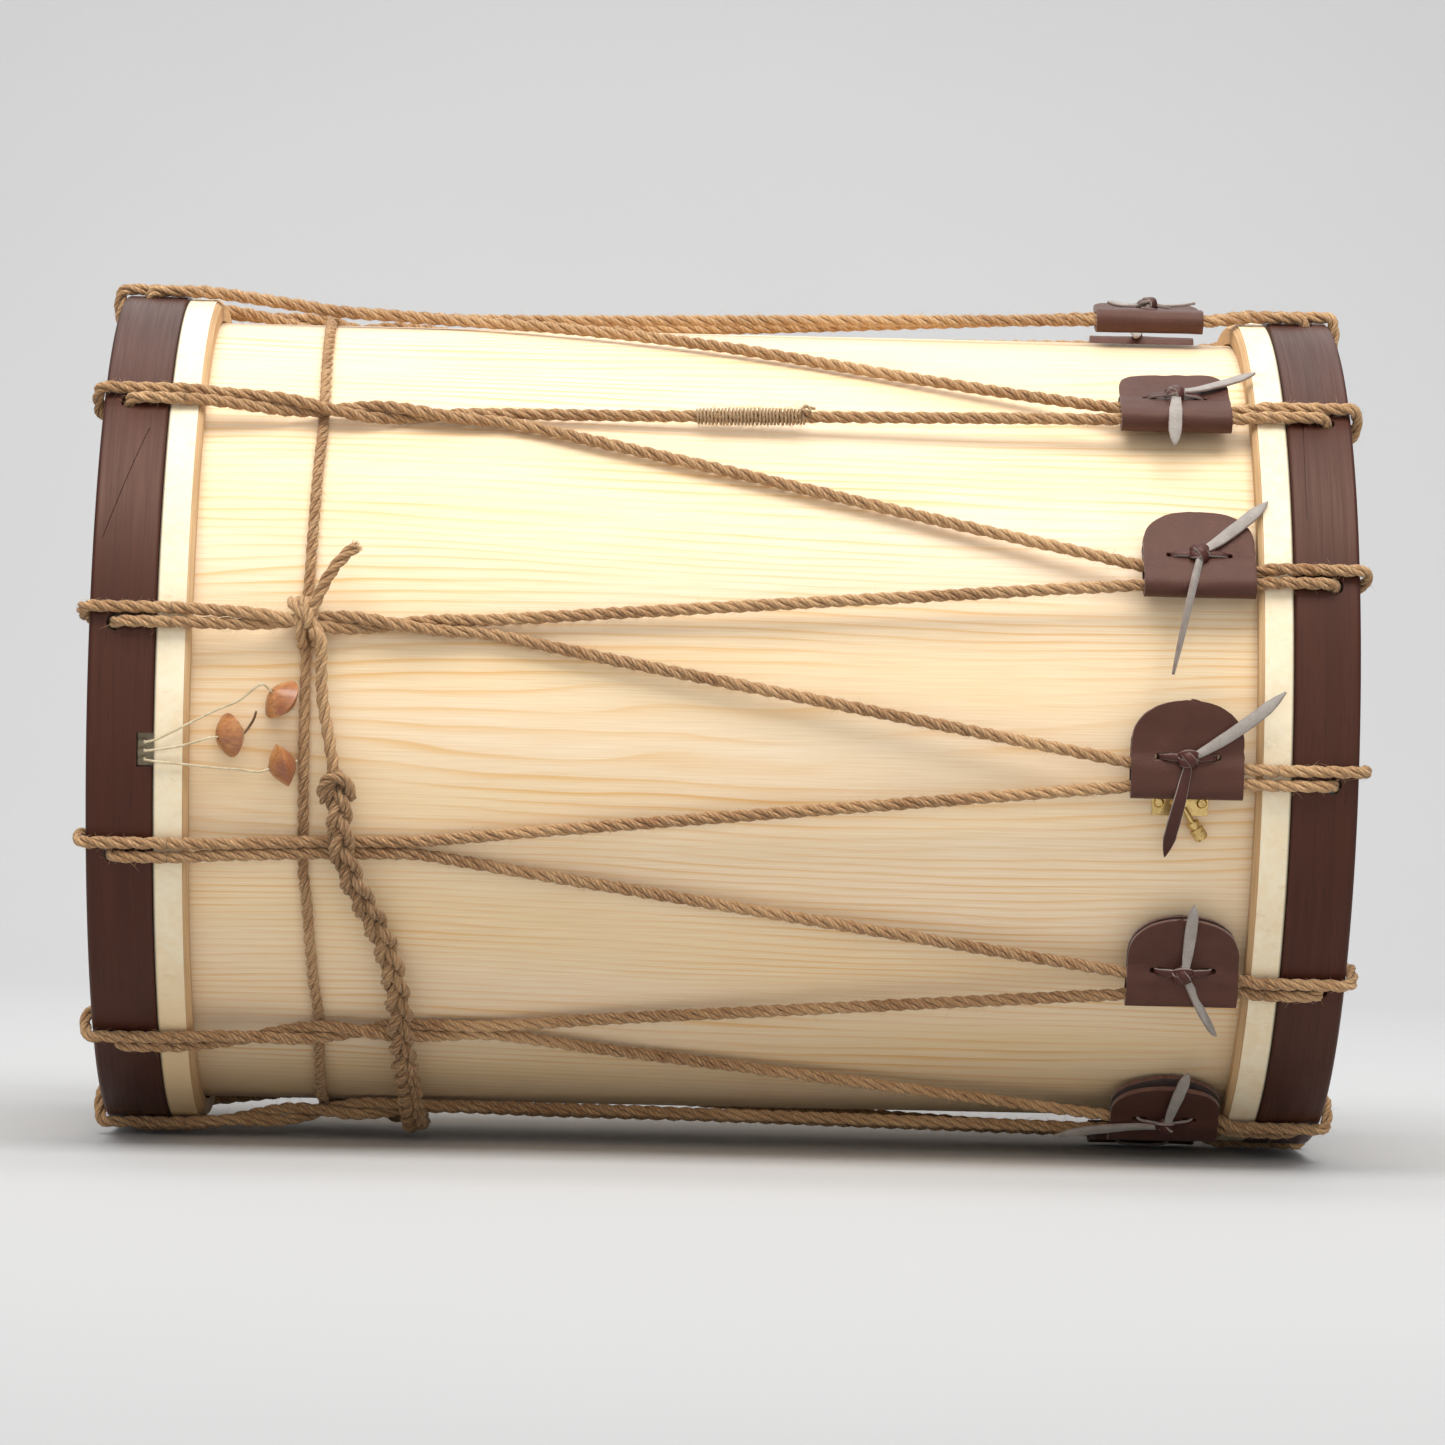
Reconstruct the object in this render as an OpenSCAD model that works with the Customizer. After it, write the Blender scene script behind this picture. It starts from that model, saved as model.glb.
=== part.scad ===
// Long rope-tensioned bass drum, lying on its side, in millimetres, +Z up.
// The drum's axis runs along X. The origin is on the floor under the middle of the drum.
// A place on the drum is x along the axis, r from the axis, and a in degrees round it:
// a = 0 faces the front (-Y) and a = 90 faces the floor.

/* [Drum] */
// Outer diameter of the shell
shell_d = 381; // [379:0.5:382]
// Wall of the shell
shell_wall = 5.5; // [4:0.5:8]
// Length over both counterhoops
drum_length = 588; // [580:2:640]
// Depth of each head below the outer edge of its counterhoop
head_recess = 19; // [18:1:22]
// Thickness of the skins
skin = 0.8; // [0.5:0.1:1]

/* [Hoops] */
// Outer diameter of the counterhoops
hoop_d = 406; // [405:0.5:407]
// Width of a counterhoop along the axis
hoop_w = 30.8; // [30:0.2:32]
// Thickness of a counterhoop
hoop_t = 10; // [9.5:0.1:10.5]
// Width of a flesh hoop along the axis
flesh_w = 16; // [14:1:18]
// Width of the snare gates in the left counterhoop
gate_w = 16; // [12:1:20]

/* [Rope] */
// Diameter of the jute rope
rope_d = 6; // [5:0.5:6]

/* [Tugs] */
// Width of a tug along the rope
tug_w = 52; // [44:1:54]
// Height of the ears above the rope
ear_h = 35; // [28:1:36]
// Thickness of the tug leather
leather = 2.2; // [1.6:0.1:2.2]

/* [Hidden] */

// Lacing points round the left counterhoop, one rope pair each, in degrees
left_at = [-82, -46, -12.1, 18.6, 49.8, 78.5, 108, 138, 168, 199, 229, 256];
// Lacing points round the right counterhoop, one tug each, in degrees
right_at = [-80, -47.1, -20.6, 5.9, 35.8, 69, 97.5, 128, 158, 188.5, 219, 250];
// Where each left pair parts into its two V strands
split_x = [-135, -105, -113, -142, -108, -135, -120, -115, -125, -110, -120, -125];
// Middle of each tug along the axis
tug_x = [206, 211, 219, 214, 217, 218, 216, 214, 212, 215, 213, 211];
// How far each tug leans in towards the shell, in degrees
tug_lean = [0, 12, 16, 3, 13, 16, 12, 6, 4, 4, 5, 3];
// How far the floor presses a tug in
tug_press = [0, 0, 0, 0, 0, 0, 0.6, 0, 0, 0, 0, 0];
// Directions of the two thong tails, in degrees from +X towards the ears
tail_dirs = [
    [170, 12], [29, -98], [42, -102], [38, -100], [86, -64], [68, 190],
    [35, -20], [40, -95], [150, -70], [35, -110], [60, -85], [20, -100]
];
// Which side of the tug the knot is on: 1 outside, -1 towards the shell
knot_side = [1, 1, 1, 1, 1, 1, -1, 1, 1, 1, 1, 1];

shell_r = shell_d / 2;
hoop_r = hoop_d / 2;
rope_r = rope_d / 2;
half = drum_length / 2;
shell_end = half - head_recess;
hoop_in = half - hoop_w;
flesh_out = hoop_in - 0.2;
flesh_in = flesh_out - flesh_w;
flesh_r = hoop_r - 1;

// Rope: radius of its centreline where it lies on a counterhoop, and half the gap in a pair
over_r = hoop_r + rope_r + 0.1;
pair_deg = 0.95;
// The drum rests on its lowest rope loops
lowest = max([for (a = [each left_at, each right_at]) max(sin(a - pair_deg), sin(a + pair_deg))]);
axis_z = (over_r + 0.1 + rope_r) * lowest;
hole_d = 8;
hole_in = 12;
join_x = half - 38;
tug_r = hoop_r + 0.3;
cavity = rope_r + 0.4;
fold_depth = 8.8;
thong_y = 9;
hole_dx = 12;
strap_h = 4;
strap_t = 1.3;
strap_z = 5.15;
sep_in = 11;
sep_out = 6.8;

girdle_x = [-193, -191, -194, -194, -188, -189, -191, -192, -193, -192, -191, -193];
girdle_pair_r = shell_r + rope_r + 3.7;
gate_at = 5.5;
gate_depth = 7.5;
gut_r = 0.6;

function unit(v) = v / norm(v);
function pt(x, r, a) = [x, -r * cos(a), axis_z - r * sin(a)];
function outward(a) = [0, -cos(a), -sin(a)];
function upward(a) = [0, -sin(a), cos(a)];
function arc(cx, cy, r, a0, a1, n = 6) =
    [for (i = [0:n]) let (a = a0 + (a1 - a0) * i / n) [cx + r * cos(a), cy + r * sin(a)]];

// Direction of a route at its point i
function along(p, i) = unit(p[min(i + 1, len(p) - 1)] - p[max(i - 1, 0)]);
function across(t, ref) = unit(ref - (ref * t) * t);

// The corners of one ring of a tube, flattened along the second direction by flat
function ring(c, t, ref, r, flat, sides) =
    let (u = across(t, ref), v = cross(t, u))
    [for (k = [0:sides - 1]) c + r * cos(360 * k / sides) * u + r * flat * sin(360 * k / sides) * v];

// A tube along the points p, with radius r[i] at each, capped at both ends
module tube(p, r, ref, sides = 8) {
    n = len(p);
    radius = is_list(r) ? r : [for (i = [0:n - 1]) r];
    points = [for (i = [0:n - 1]) each ring(p[i], along(p, i), ref, radius[i], 1, sides)];
    walls = [
        for (i = [0:n - 2]) for (k = [0:sides - 1])
            let (a = i * sides + k, b = i * sides + (k + 1) % sides)
            [a + sides, b + sides, b, a]
    ];
    first_cap = [for (k = [0:sides - 1]) k];
    last_cap = [for (k = [sides - 1:-1:0]) (n - 1) * sides + k];
    polyhedron(points, [first_cap, each walls, last_cap], convexity = 6);
}

// Children stand on the drum at a place: X along the axis, Y up round it, Z outward
module on_drum(x, r, a) {
    translate(pt(x, r, a)) rotate([90 + a, 0, 0]) children();
}

// Children are turned about the drum's axis, with Z pointing out of the drum on one side
module on_axis(side) {
    translate([0, 0, axis_z]) rotate([0, 90 * side, 0]) children();
}

module turned(side, profile) {
    on_axis(side) rotate_extrude($fn = 180) polygon(profile);
}

// ---- shell, heads and hoops

module shell() {
    r = shell_r;
    inner = r - shell_wall;
    edge = 1.7;
    profile = [
        [inner, -shell_end + 3], [inner + 3, -shell_end], [r - edge, -shell_end], [r, -shell_end + edge],
        [r, shell_end - edge], [r - edge, shell_end], [inner + 3, shell_end], [inner, shell_end - 3]
    ];
    color("#F0DDB8") turned(1, profile);
}

module glue_ring(side) {
    r = shell_r - shell_wall - 0.05;
    profile = [[r - 7, shell_end - 36], [r, shell_end - 38], [r, shell_end - 4], [r - 7, shell_end - 10]];
    color("#E3C795") turned(side, profile);
}

// The skin lies over the shell's edge and is lapped over its flesh hoop
module head(side) {
    r = shell_r + 0.1;
    profile = [
        [0, shell_end], [r - 1.6, shell_end], [r, shell_end - 1.6], [r, flesh_out - skin],
        [flesh_r - skin, flesh_out - skin], [flesh_r - skin, flesh_in + 2.5], [flesh_r, flesh_in + 2.5],
        [flesh_r, flesh_out - 0.6], [flesh_r - 0.6, flesh_out], [r + skin, flesh_out],
        [r + skin, shell_end - 1.2], [r - 1, shell_end + skin], [0, shell_end + skin]
    ];
    color("#F3E9D2") turned(side, profile);
}

module flesh_hoop(side) {
    inner = shell_r + 1.2;
    outer = flesh_r - skin - 0.1;
    profile = [
        [inner, flesh_in], [outer - 1.8, flesh_in], [outer, flesh_in + 1.8],
        [outer, flesh_out - skin - 0.1], [inner, flesh_out - skin - 0.1]
    ];
    color("#DDB981") turned(side, profile);
}

// The scarf joint of a bent hoop shows as a fine groove on its outside, around a place
module scarf_seam(x, a, turn) {
    difference() {
        on_drum(x, hoop_r - 20, a) rotate([0, 0, turn]) translate([-32, -0.25, 0]) cube([64, 0.5, 40]);
        on_axis(1) cylinder(r = hoop_r - 0.6, h = 2 * drum_length, center = true, $fn = 180);
    }
}

module counterhoop(side, angles, gated, seam) {
    r1 = hoop_r;
    r0 = hoop_r - hoop_t;
    c = 2;
    profile = [
        each arc(r0 + c, hoop_in + c, c, 180, 270), each arc(r1 - c, hoop_in + c, c, 270, 360),
        each arc(r1 - c, half - c, c, 0, 90), each arc(r0 + c, half - c, c, 90, 180)
    ];
    color("#4A2620") difference() {
        turned(side, profile);
        for (a = angles)
            on_drum(side * (half - hole_in), r0 - 4, a + pair_deg)
                cylinder(d = hole_d, h = hoop_t + 8, $fn = 32);
        if (gated)
            for (a = [gate_at, gate_at + 180])
                on_drum(side * (hoop_in + gate_depth / 2 - 1), r0 - 4, a)
                    translate([-gate_depth / 2 - 1, -gate_w / 2, 0])
                        cube([gate_depth + 2, gate_w, hoop_t + 8]);
        scarf_seam(seam[0], seam[1], seam[2]);
    }
}

// ---- tension rope

// One loop: over the end of the counterhoop, down inside it, and out through its hole.
// Each point is [beyond the hoop's end, radius, degrees from the lacing point].
loop_route = [
    [-38, over_r, -0.95], [-20, over_r, -0.95], [-6, over_r + 0.1, -0.95], [0.6, over_r, -0.95],
    [2.6, over_r - 1.9, -0.95], [3.2, over_r - 5, -0.9], [3.2, over_r - 12, -0.8], [2.2, over_r - 15.4, -0.6],
    [-1.6, over_r - 17.2, -0.2], [-7.4, over_r - 17.6, 0.5], [-11.2, over_r - 15.4, 0.9],
    [-12, over_r - 12, 0.95], [-12, over_r - 3, 0.95], [-13.3, over_r - 0.6, 0.95],
    [-17, over_r + 0.1, 0.95], [-38, over_r, 0.95]
];

module rope_loops(side, angles) {
    color("#A67C4E") for (a = angles)
        tube([for (q = loop_route) pt(side * (half + q[0]), q[1], a + q[2])], rope_r, -upward(a));
}

// A point inside tug k: dx along the rope, up from the middle of its two strands
function tug_point(k, dx, up) =
    let (a = right_at[k], lean = tug_lean[k])
    pt(tug_x[k] + dx, tug_r - tug_press[k], a) + up * (cos(lean) * upward(a) - sin(lean) * outward(a));

// Points where a strand leaves its left pair and where it enters its tug
function strand_split(k, low) =
    let (j = (k + (low ? 0 : 11)) % 12)
    pt(split_x[j], shell_r + rope_r + 0.9, left_at[j] - (low ? 1 : -1) * pair_deg);
function strand_entry(k, low) = tug_point(k, -tug_w / 2, (low ? -0.5 : 0.5) * sep_in);
function off_shell(c) =
    let (r = norm([c[1], c[2] - axis_z]), s = max(1, (shell_r + rope_r + 1.6) / r))
    [c[0], c[1] * s, axis_z + (c[2] - axis_z) * s];
// A place on a strand's straight stretch, which lies on the shell where the shell is in its way
function on_strand(k, low, x) =
    let (p = strand_split(k, low), q = strand_entry(k, low))
    off_shell(p + (q - p) * (x - p[0]) / (q[0] - p[0]));

// The whole route of one strand of tug k, the low one from its own pair, the high one from the pair above
function strand_route(k, low) =
    let (j = (k + (low ? 0 : 11)) % 12, s = low ? 1 : -1, al = left_at[j] - s * pair_deg,
         ar = right_at[k] + s * pair_deg, xt = tug_x[k], gx = girdle_x[j], sx = split_x[j])
    [
        pt(-join_x, over_r, al), pt(-flesh_in - 0.5, over_r - 0.6, al), pt(gx - 8, girdle_pair_r + 0.8, al),
        pt(gx, girdle_pair_r, al), pt((gx + sx) / 2, shell_r + rope_r + 1.1, al), strand_split(k, low),
        on_strand(k, low, sx + 60), on_strand(k, low, sx + 130), on_strand(k, low, xt - 120),
        on_strand(k, low, xt - 60), strand_entry(k, low), tug_point(k, -17, -s * 3.9),
        tug_point(k, -7, -s * 3.4),
        tug_point(k, tug_w / 2, -s * sep_out / 2), pt(join_x - 3, over_r - 0.2, ar), pt(join_x, over_r, ar)
    ];

module rope_v(k) {
    color("#A67C4E") for (low = [false, true])
        tube(strand_route(k, low), rope_r, outward(right_at[k]));
}

// Twine bound over the splice in the low strand of the second tug
module splice_whipping() {
    k = 1;
    from = on_strand(k, true, -15);
    to = on_strand(k, true, 36);
    d = unit(to - from);
    color("#B99A6B") difference() {
        tube([from, from + 6 * d, to - 6 * d, to], [3.6, 4.4, 4.4, 3.8], outward(right_at[k]), 12);
        tube([from - 2 * d, to + 2 * d], rope_r + 0.2, outward(right_at[k]), 12);
    }
}

// ---- girdle rope and drag rope

// The girdle is squeezed flat under each rope pair. Each ring is [x, degrees, thickness as a share].
girdle_rings = [
    for (j = [0:11])
        let (a = left_at[j], next = left_at[(j + 1) % 12] + (j == 11 ? 360 : 0), x = girdle_x[j],
             x2 = girdle_x[(j + 1) % 12])
        each [
            [x, a - 1.9, 0.53], [x, a + 1.9, 0.53], [x, a + 4.2, 1],
            for (t = [0.27, 0.42, 0.58, 0.73]) [x + (x2 - x) * t, a + (next - a) * t, 1],
            [x2, next - 4.2, 1]
        ]
];

module girdle_ring_tube() {
    n = len(girdle_rings);
    sides = 8;
    points = [
        for (q = girdle_rings)
            let (lift = q[2] < 1 ? 0.15 : 0.4, c = pt(q[0], shell_r + lift + rope_r * q[2], q[1]))
            each ring(c, -upward(q[1]), [1, 0, 0], rope_r, q[2], sides)
    ];
    walls = [
        for (i = [0:n - 1]) for (k = [0:sides - 1])
            let (a = i * sides + k, b = i * sides + (k + 1) % sides, step = sides, all = n * sides)
            [(a + step) % all, (b + step) % all, b, a]
    ];
    polyhedron(points, walls, convexity = 6);
}

// The knot sits on the third pair. Each point is [x, radius, degrees, tube radius].
knot_route = [
    [-194, shell_r + 3.2, -18.4, 1.8], [-194, shell_r + 6, -16.8, 3], [-194, shell_r + 12, -14.8, 4.2],
    [-193.5, shell_r + 15.6, -13.1, 5], [-193, shell_r + 15.6, -10.9, 5], [-193, shell_r + 12, -9.3, 4.2],
    [-193, shell_r + 6, -7.3, 3], [-193, shell_r + 3.2, -5.5, 1.8]
];

module girdle_rope() {
    color("#A67C4E") union() {
        girdle_ring_tube();
        tube([for (q = knot_route) pt(q[0], q[1], q[2])], [for (q = knot_route) q[3]], [1, 0, 0]);
    }
}

// The short free end of the girdle, from its knot. Each point is [x, radius, degrees].
tail_route = [
    [-189.5, 209.6, -14], [-187, 210.6, -15.5], [-184, 211.2, -17.2], [-180.5, 211.4, -18.7],
    [-176.5, 211.2, -20.1], [-172, 210.8, -21.2]
];

module girdle_tail() {
    color("#A67C4E") tube([for (q = tail_route) pt(q[0], q[1], q[2])], rope_r, [1, 0, 0]);
}

// The drag rope: plain rope from the knot, then a plaited chain round the front and under the drum,
// tied back to the girdle. Each point is [x, radius, degrees, tube radius].
drag_route = [
    [-187, 206, -9.7, 3], [-186.5, 202, -5.5, 3], [-185.5, 199, -1.5, 3],
    [-183, 198.6, 2.5, 3], [-180.5, 199.6, 6.4, 3.2], [-179.5, 200.6, 8, 5.5],
    [-178, 202.5, 11, 6.5], [-176.5, 204.8, 14.6, 6.5], [-175, 206.2, 18.6, 6.5],
    [-170, 205, 22.7, 6.5], [-163, 201.5, 27.5, 6.5], [-156, 199.6, 32.7, 6.5],
    [-151.5, 200.2, 38.4, 6.5], [-149, 202.6, 44.1, 6.5], [-148, 204.4, 49.8, 6.5],
    [-147, 203.4, 55, 6.5], [-146, 201, 60.6, 6.5], [-145, 201.2, 67.2, 6.5],
    [-144.5, 202.4, 73.3, 6], [-144, 203.1, 78.5, 5.4], [-143.5, 201.4, 84.3, 6],
    [-145, 199.4, 89.7, 6.5], [-151, 198.8, 94, 6.5], [-160, 198.4, 96.9, 6.5],
    [-170, 198, 99.4, 6.5], [-178, 197.8, 101, 5.5], [-180.5, 198, 101.6, 3.2],
    [-184, 199.4, 102.1, 3], [-188, 200.6, 102.9, 3]
];

module drag_rope() {
    line = [for (q = drag_route) pt(q[0], q[1], q[2])];
    color("#9C7347") tube(line, [for (q = drag_route) q[3]], [0.02, 0.3, 1]);
}

// ---- snares

// Sideways places of the three gut strands on the left head
gut_y = [4, 0, -4];
head_x = -shell_end - skin - gut_r - 0.1;

// One strand crosses the head from gate to gate and comes out through the front gate
function gut_half(s, y) =
    let (d = s * y)
    [
        [-(shell_end + skin + gut_r + 0.1), 95, d], [head_x, 184, d], [head_x + 0.2, 188.8, d],
        [head_x + 1.4, shell_r + 1.5, d], [head_x + 3, shell_r + 1.75, d],
        [-hoop_in - 5.6, shell_r + 1.75, d], [-hoop_in - 4, shell_r + 3, d], [-hoop_in - 3.7, hoop_r, d]
    ];
function gut_point(q, a) = pt(q[0], q[1], a) + q[2] * upward(a);
function gut_line(y) = [
    for (i = [7:-1:0]) gut_point(gut_half(-1, y)[i], gate_at + 180),
    for (i = [0:7]) gut_point(gut_half(1, y)[i], gate_at)
];

module snare_gut() {
    color("#E8D9B0") for (y = gut_y) tube(gut_line(y), gut_r, upward(gate_at), 6);
}

// Lens-shaped wooden beads, strung through their poles: [x, radius, degrees, diameter, thickness,
// direction of the bore round the drum from +X, tilt of its near pole away from the shell]
beads = [
    [-228, shell_r + 8.8, 3.4, 20.5, 13.5, 7, 36],
    [-204.5, shell_r + 9, -1.5, 20.5, 13.5, -38, 34],
    [-203.5, shell_r + 10.3, 7.2, 20.5, 13, 16, 14]
];
// A point on the bore of bead i, d beyond the middle
function bead_point(i, d) =
    let (b = beads[i], flat = cos(b[6]) * (cos(b[5]) * [1, 0, 0] + sin(b[5]) * upward(b[2])))
    pt(b[0], b[1], b[2]) + d * (flat - sin(b[6]) * outward(b[2]));
function on_skin(q) = pt(q[0], q[1], q[2]);

// Free ends of the gut from the gate to the beads. Each point is [x, radius, degrees].
gut_tails = [
    [
        on_skin([-267, 204.2, 4.5]), on_skin([-262, 204.6, 4.1]), on_skin([-250, 204.4, 2.4]),
        on_skin([-235, 203.4, 0.2]), on_skin([-224, 203, -1.2]),
        bead_point(1, -13), bead_point(1, -8.5), bead_point(1, 8.5)
    ],
    [
        on_skin([-267, 204.2, 5.6]), on_skin([-262, 204.6, 5.4]), on_skin([-250, 205, 4.8]),
        bead_point(0, -12), bead_point(0, -8), bead_point(0, 7.5),
        on_skin([-218.6, 194.8, 1.9]), on_skin([-217, 197.4, 1.1]), on_skin([-216, 200.4, 0.2])
    ],
    [
        on_skin([-267, 204.2, 6.7]), on_skin([-262, 204.6, 6.9]), on_skin([-250, 203.6, 7.2]),
        on_skin([-236, 202.6, 7.6]), on_skin([-223, 202.6, 7.8]),
        bead_point(2, -11), bead_point(2, -8), bead_point(2, 7.5)
    ]
];

module snare_tails() {
    color("#E8D9B0") for (t = gut_tails) tube(t, gut_r, outward(gate_at), 6);
}

// Half section of a bead: sharp at the rim, rounded at the poles
function lens(d, t) =
    let (n = 8)
    [
        for (i = [0:n]) [d / 2 * i / n, -t / 2 * (1 - pow(i / n, 1.7))],
        for (i = [n - 1:-1:0]) [d / 2 * i / n, t / 2 * (1 - pow(i / n, 1.7))]
    ];

module snare_bead(i) {
    b = beads[i];
    color("#C08A54") on_drum(b[0], b[1], b[2]) rotate([0, 0, b[5]]) rotate([0, 90 + b[6], 0])
    difference() {
        rotate_extrude($fn = 60) polygon(lens(b[3], b[4]));
        cylinder(d = 2.2, h = 2 * b[4], center = true, $fn = 24);
    }
}

// ---- strainer: a brass plate with a lug, and a screw with a knurled knob through the lug

strainer_at = [212.5, 10.1];
strainer_turn = -57;
rod_z = 4.1;
lug_t = 4;

module on_strainer() {
    on_drum(strainer_at[0], shell_r, strainer_at[1]) children();
}

// Along the strainer's screw, starting inside the lug
module on_screw(d) {
    on_strainer() rotate([0, 0, strainer_turn]) translate([d, 0, rod_z]) rotate([0, 90, 0]) children();
}

module strainer_plate() {
    color("#C9A24A") difference() {
        union() {
            on_strainer() translate([-13, -6, 0.05]) cube([26, 12, 1.3]);
            on_strainer() rotate([0, 0, strainer_turn]) translate([-lug_t / 2, -4, 0.7])
                cube([lug_t, 8, 5.1]);
        }
        on_screw(-9) cylinder(d = 3.1, h = 18, $fn = 32);
        for (dx = [-10, 10]) on_strainer() translate([dx, 0, -2]) cylinder(d = 2.7, h = 5, $fn = 24);
    }
}

module strainer_screws() {
    color("#B8923E") for (dx = [-10, 10])
        on_strainer() translate([dx, 0, 1.4]) {
            cylinder(d1 = 5, d2 = 3.4, h = 1.2, $fn = 32);
            translate([0, 0, -1.3]) cylinder(d = 2.4, h = 1.4, $fn = 24);
        }
}

module strainer_rod() {
    color("#C9A24A") on_screw(-7) cylinder(d = 3, h = 25.5, $fn = 32);
}

module strainer_knob() {
    color("#D6B25A") on_screw(10) difference() {
        union() {
            cylinder(d = 6.2, h = 2.2, $fn = 48);
            translate([0, 0, 2.2]) cylinder(d = 4.6, h = 1.4, $fn = 48);
            translate([0, 0, 3.6]) cylinder(d = 6.6, h = 5, $fn = 48);
            translate([0, 0, 8.6]) cylinder(d1 = 6.6, d2 = 5, h = 1, $fn = 48);
        }
        translate([0, 0, -1]) cylinder(d = 3.05, h = 12, $fn = 32);
    }
}

// ---- tugs and thongs

module on_tug(k) {
    on_drum(tug_x[k], tug_r - tug_press[k], right_at[k]) rotate([-tug_lean[k], 0, 0]) children();
}

// Half of the folded leather, from the bottom of the fold to the tip of one ear: [height, distance out]
pinch_y = 10;
pinch = 1.6;
ear_flare = 2.4;
function leather_line(extra) =
    let (c = cavity + extra, y0 = -fold_depth + cavity)
    [each arc(y0, 0, c, 180, 90, 8), [5, c], [pinch_y, pinch + extra], [ear_h + 1, ear_flare + extra]];
function flip(p) = [for (i = [len(p) - 1:-1:0]) [p[i][0], -p[i][1]]];

// The outline of the tug seen from the front: square at the fold, rounded over the ears
function ear_outline() =
    let (w = tug_w / 2, y0 = ear_h - 20)
    [[-w, -fold_depth - leather - 1], [w, -fold_depth - leather - 1],
     for (i = [0:16]) let (a = 180 * i / 16) [w * cos(a), y0 + 20 * sin(a)]];

module tug(k) {
    outer = leather_line(leather);
    inner = leather_line(0);
    color("#5A3730") on_tug(k) difference() {
        intersection() {
            translate([-tug_w / 2 - 1, 0, 0]) rotate([90, 0, 90]) linear_extrude(tug_w + 2) difference() {
                polygon([each outer, each flip(outer)]);
                polygon([each inner, each flip(inner)]);
            }
            translate([0, 0, -20]) linear_extrude(40) polygon(ear_outline());
        }
        for (dx = [-hole_dx, hole_dx])
            translate([dx, thong_y, -20]) cylinder(d = 4.4, h = 40, $fn = 24);
    }
}

// A pointed strip of leather, starting at the knot and lying along X
module strip(l) {
    outline = [[0, -2.4], [l * 0.25, -3.2], [l - 7, -2.6], [l, -0.6], [l, 0.4], [l - 6, 3], [0, 2.4]];
    linear_extrude(strap_t) polygon(outline);
}

module thong(k) {
    s = knot_side[k];
    far = strap_z + strap_t;
    color("#6B4740") on_tug(k) union() {
        for (dx = [-hole_dx, hole_dx])
            translate([dx, thong_y, -far]) cylinder(d = 3.9, h = 2 * far, $fn = 24);
        for (z = [-far, strap_z])
            translate([-hole_dx, thong_y - strap_h / 2, z]) cube([2 * hole_dx, strap_h, strap_t]);
        translate([0.6, thong_y - 0.4, s > 0 ? strap_z + 0.4 : -far - 2.2])
            cylinder(d = 7, h = s > 0 ? 4.6 : 3, $fn = 32);
        if (s > 0)
            for (i = [0, 1])
                translate([0.6, thong_y - 0.4, far + 0.2 + 1.7 * i]) rotate([0, 0, tail_dirs[k][i]])
                    strip(46);
    }
}

shell();
glue_ring(-1);  // glue_ring_left
glue_ring(1);  // glue_ring_right
head(-1);  // head_left
head(1);  // head_right
flesh_hoop(-1);  // flesh_hoop_left
flesh_hoop(1);  // flesh_hoop_right
counterhoop(-1, left_at, true, [-half + 13.5, -31.4, 73.7]);  // counterhoop_left
counterhoop(1, right_at, false, [hoop_in + 7, -38.7, 88.7]);  // counterhoop_right
rope_loops(-1, left_at);  // rope_loops_left
rope_loops(1, right_at);  // rope_loops_right
girdle_rope();
girdle_tail();
drag_rope();
splice_whipping();
snare_gut();
snare_tails();
for (i = [0:2]) snare_bead(i);
strainer_plate();
strainer_screws();
strainer_rod();
strainer_knob();
for (k = [0:11]) rope_v(k);
for (k = [0:11]) tug(k);
for (k = [0:11]) thong(k);
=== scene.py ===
from math import atan2, cos, pi, radians, sin, tau

import bpy
import numpy as np
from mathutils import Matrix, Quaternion, Vector, noise


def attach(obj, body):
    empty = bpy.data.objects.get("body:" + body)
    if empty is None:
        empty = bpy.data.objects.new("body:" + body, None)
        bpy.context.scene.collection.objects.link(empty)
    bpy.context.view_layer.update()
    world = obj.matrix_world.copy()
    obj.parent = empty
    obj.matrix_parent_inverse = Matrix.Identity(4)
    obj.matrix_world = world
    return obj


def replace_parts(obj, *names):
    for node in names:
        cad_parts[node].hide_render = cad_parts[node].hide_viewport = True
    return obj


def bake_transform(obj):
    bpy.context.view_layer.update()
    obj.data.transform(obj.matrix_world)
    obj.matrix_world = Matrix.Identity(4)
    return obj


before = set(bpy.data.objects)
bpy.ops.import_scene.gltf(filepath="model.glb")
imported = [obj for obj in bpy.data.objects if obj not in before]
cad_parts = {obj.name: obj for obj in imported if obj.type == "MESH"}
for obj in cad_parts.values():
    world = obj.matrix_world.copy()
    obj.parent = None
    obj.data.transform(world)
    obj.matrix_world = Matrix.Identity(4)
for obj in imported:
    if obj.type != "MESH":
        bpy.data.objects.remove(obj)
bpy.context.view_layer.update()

# Sizes are in millimetres, as in the CAD, and MM turns them into the frame's metres.
# A place on the drum is x along its axis, r from the axis, and a in degrees round it:
# a = 0 faces the front (-Y) and a = 90 faces the floor.
MM = 0.001
SHELL_R = 190.5
HALF = 294       # half the drum's length
HOOP_R = 203
HOOP_IN = 263.2  # where a counterhoop's inner edge is along the axis
ROPE_D = 6
OVER_R = 206.1   # the rope's middle where it lies on a counterhoop
PAIR_DEG = 0.95  # half the angle between the two ropes of a loop
JOIN_X = 256     # where a loop ends and its strands go on
TUG_R = 203.3    # the ropes' middle inside a tug
TUG_W = 52
LEATHER = 2.2    # thickness of a tug's leather
THONG_Y = 9.0    # height of the slots above a tug's ropes
HOLE_DX = 12     # how far each slot is from a tug's middle
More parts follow.
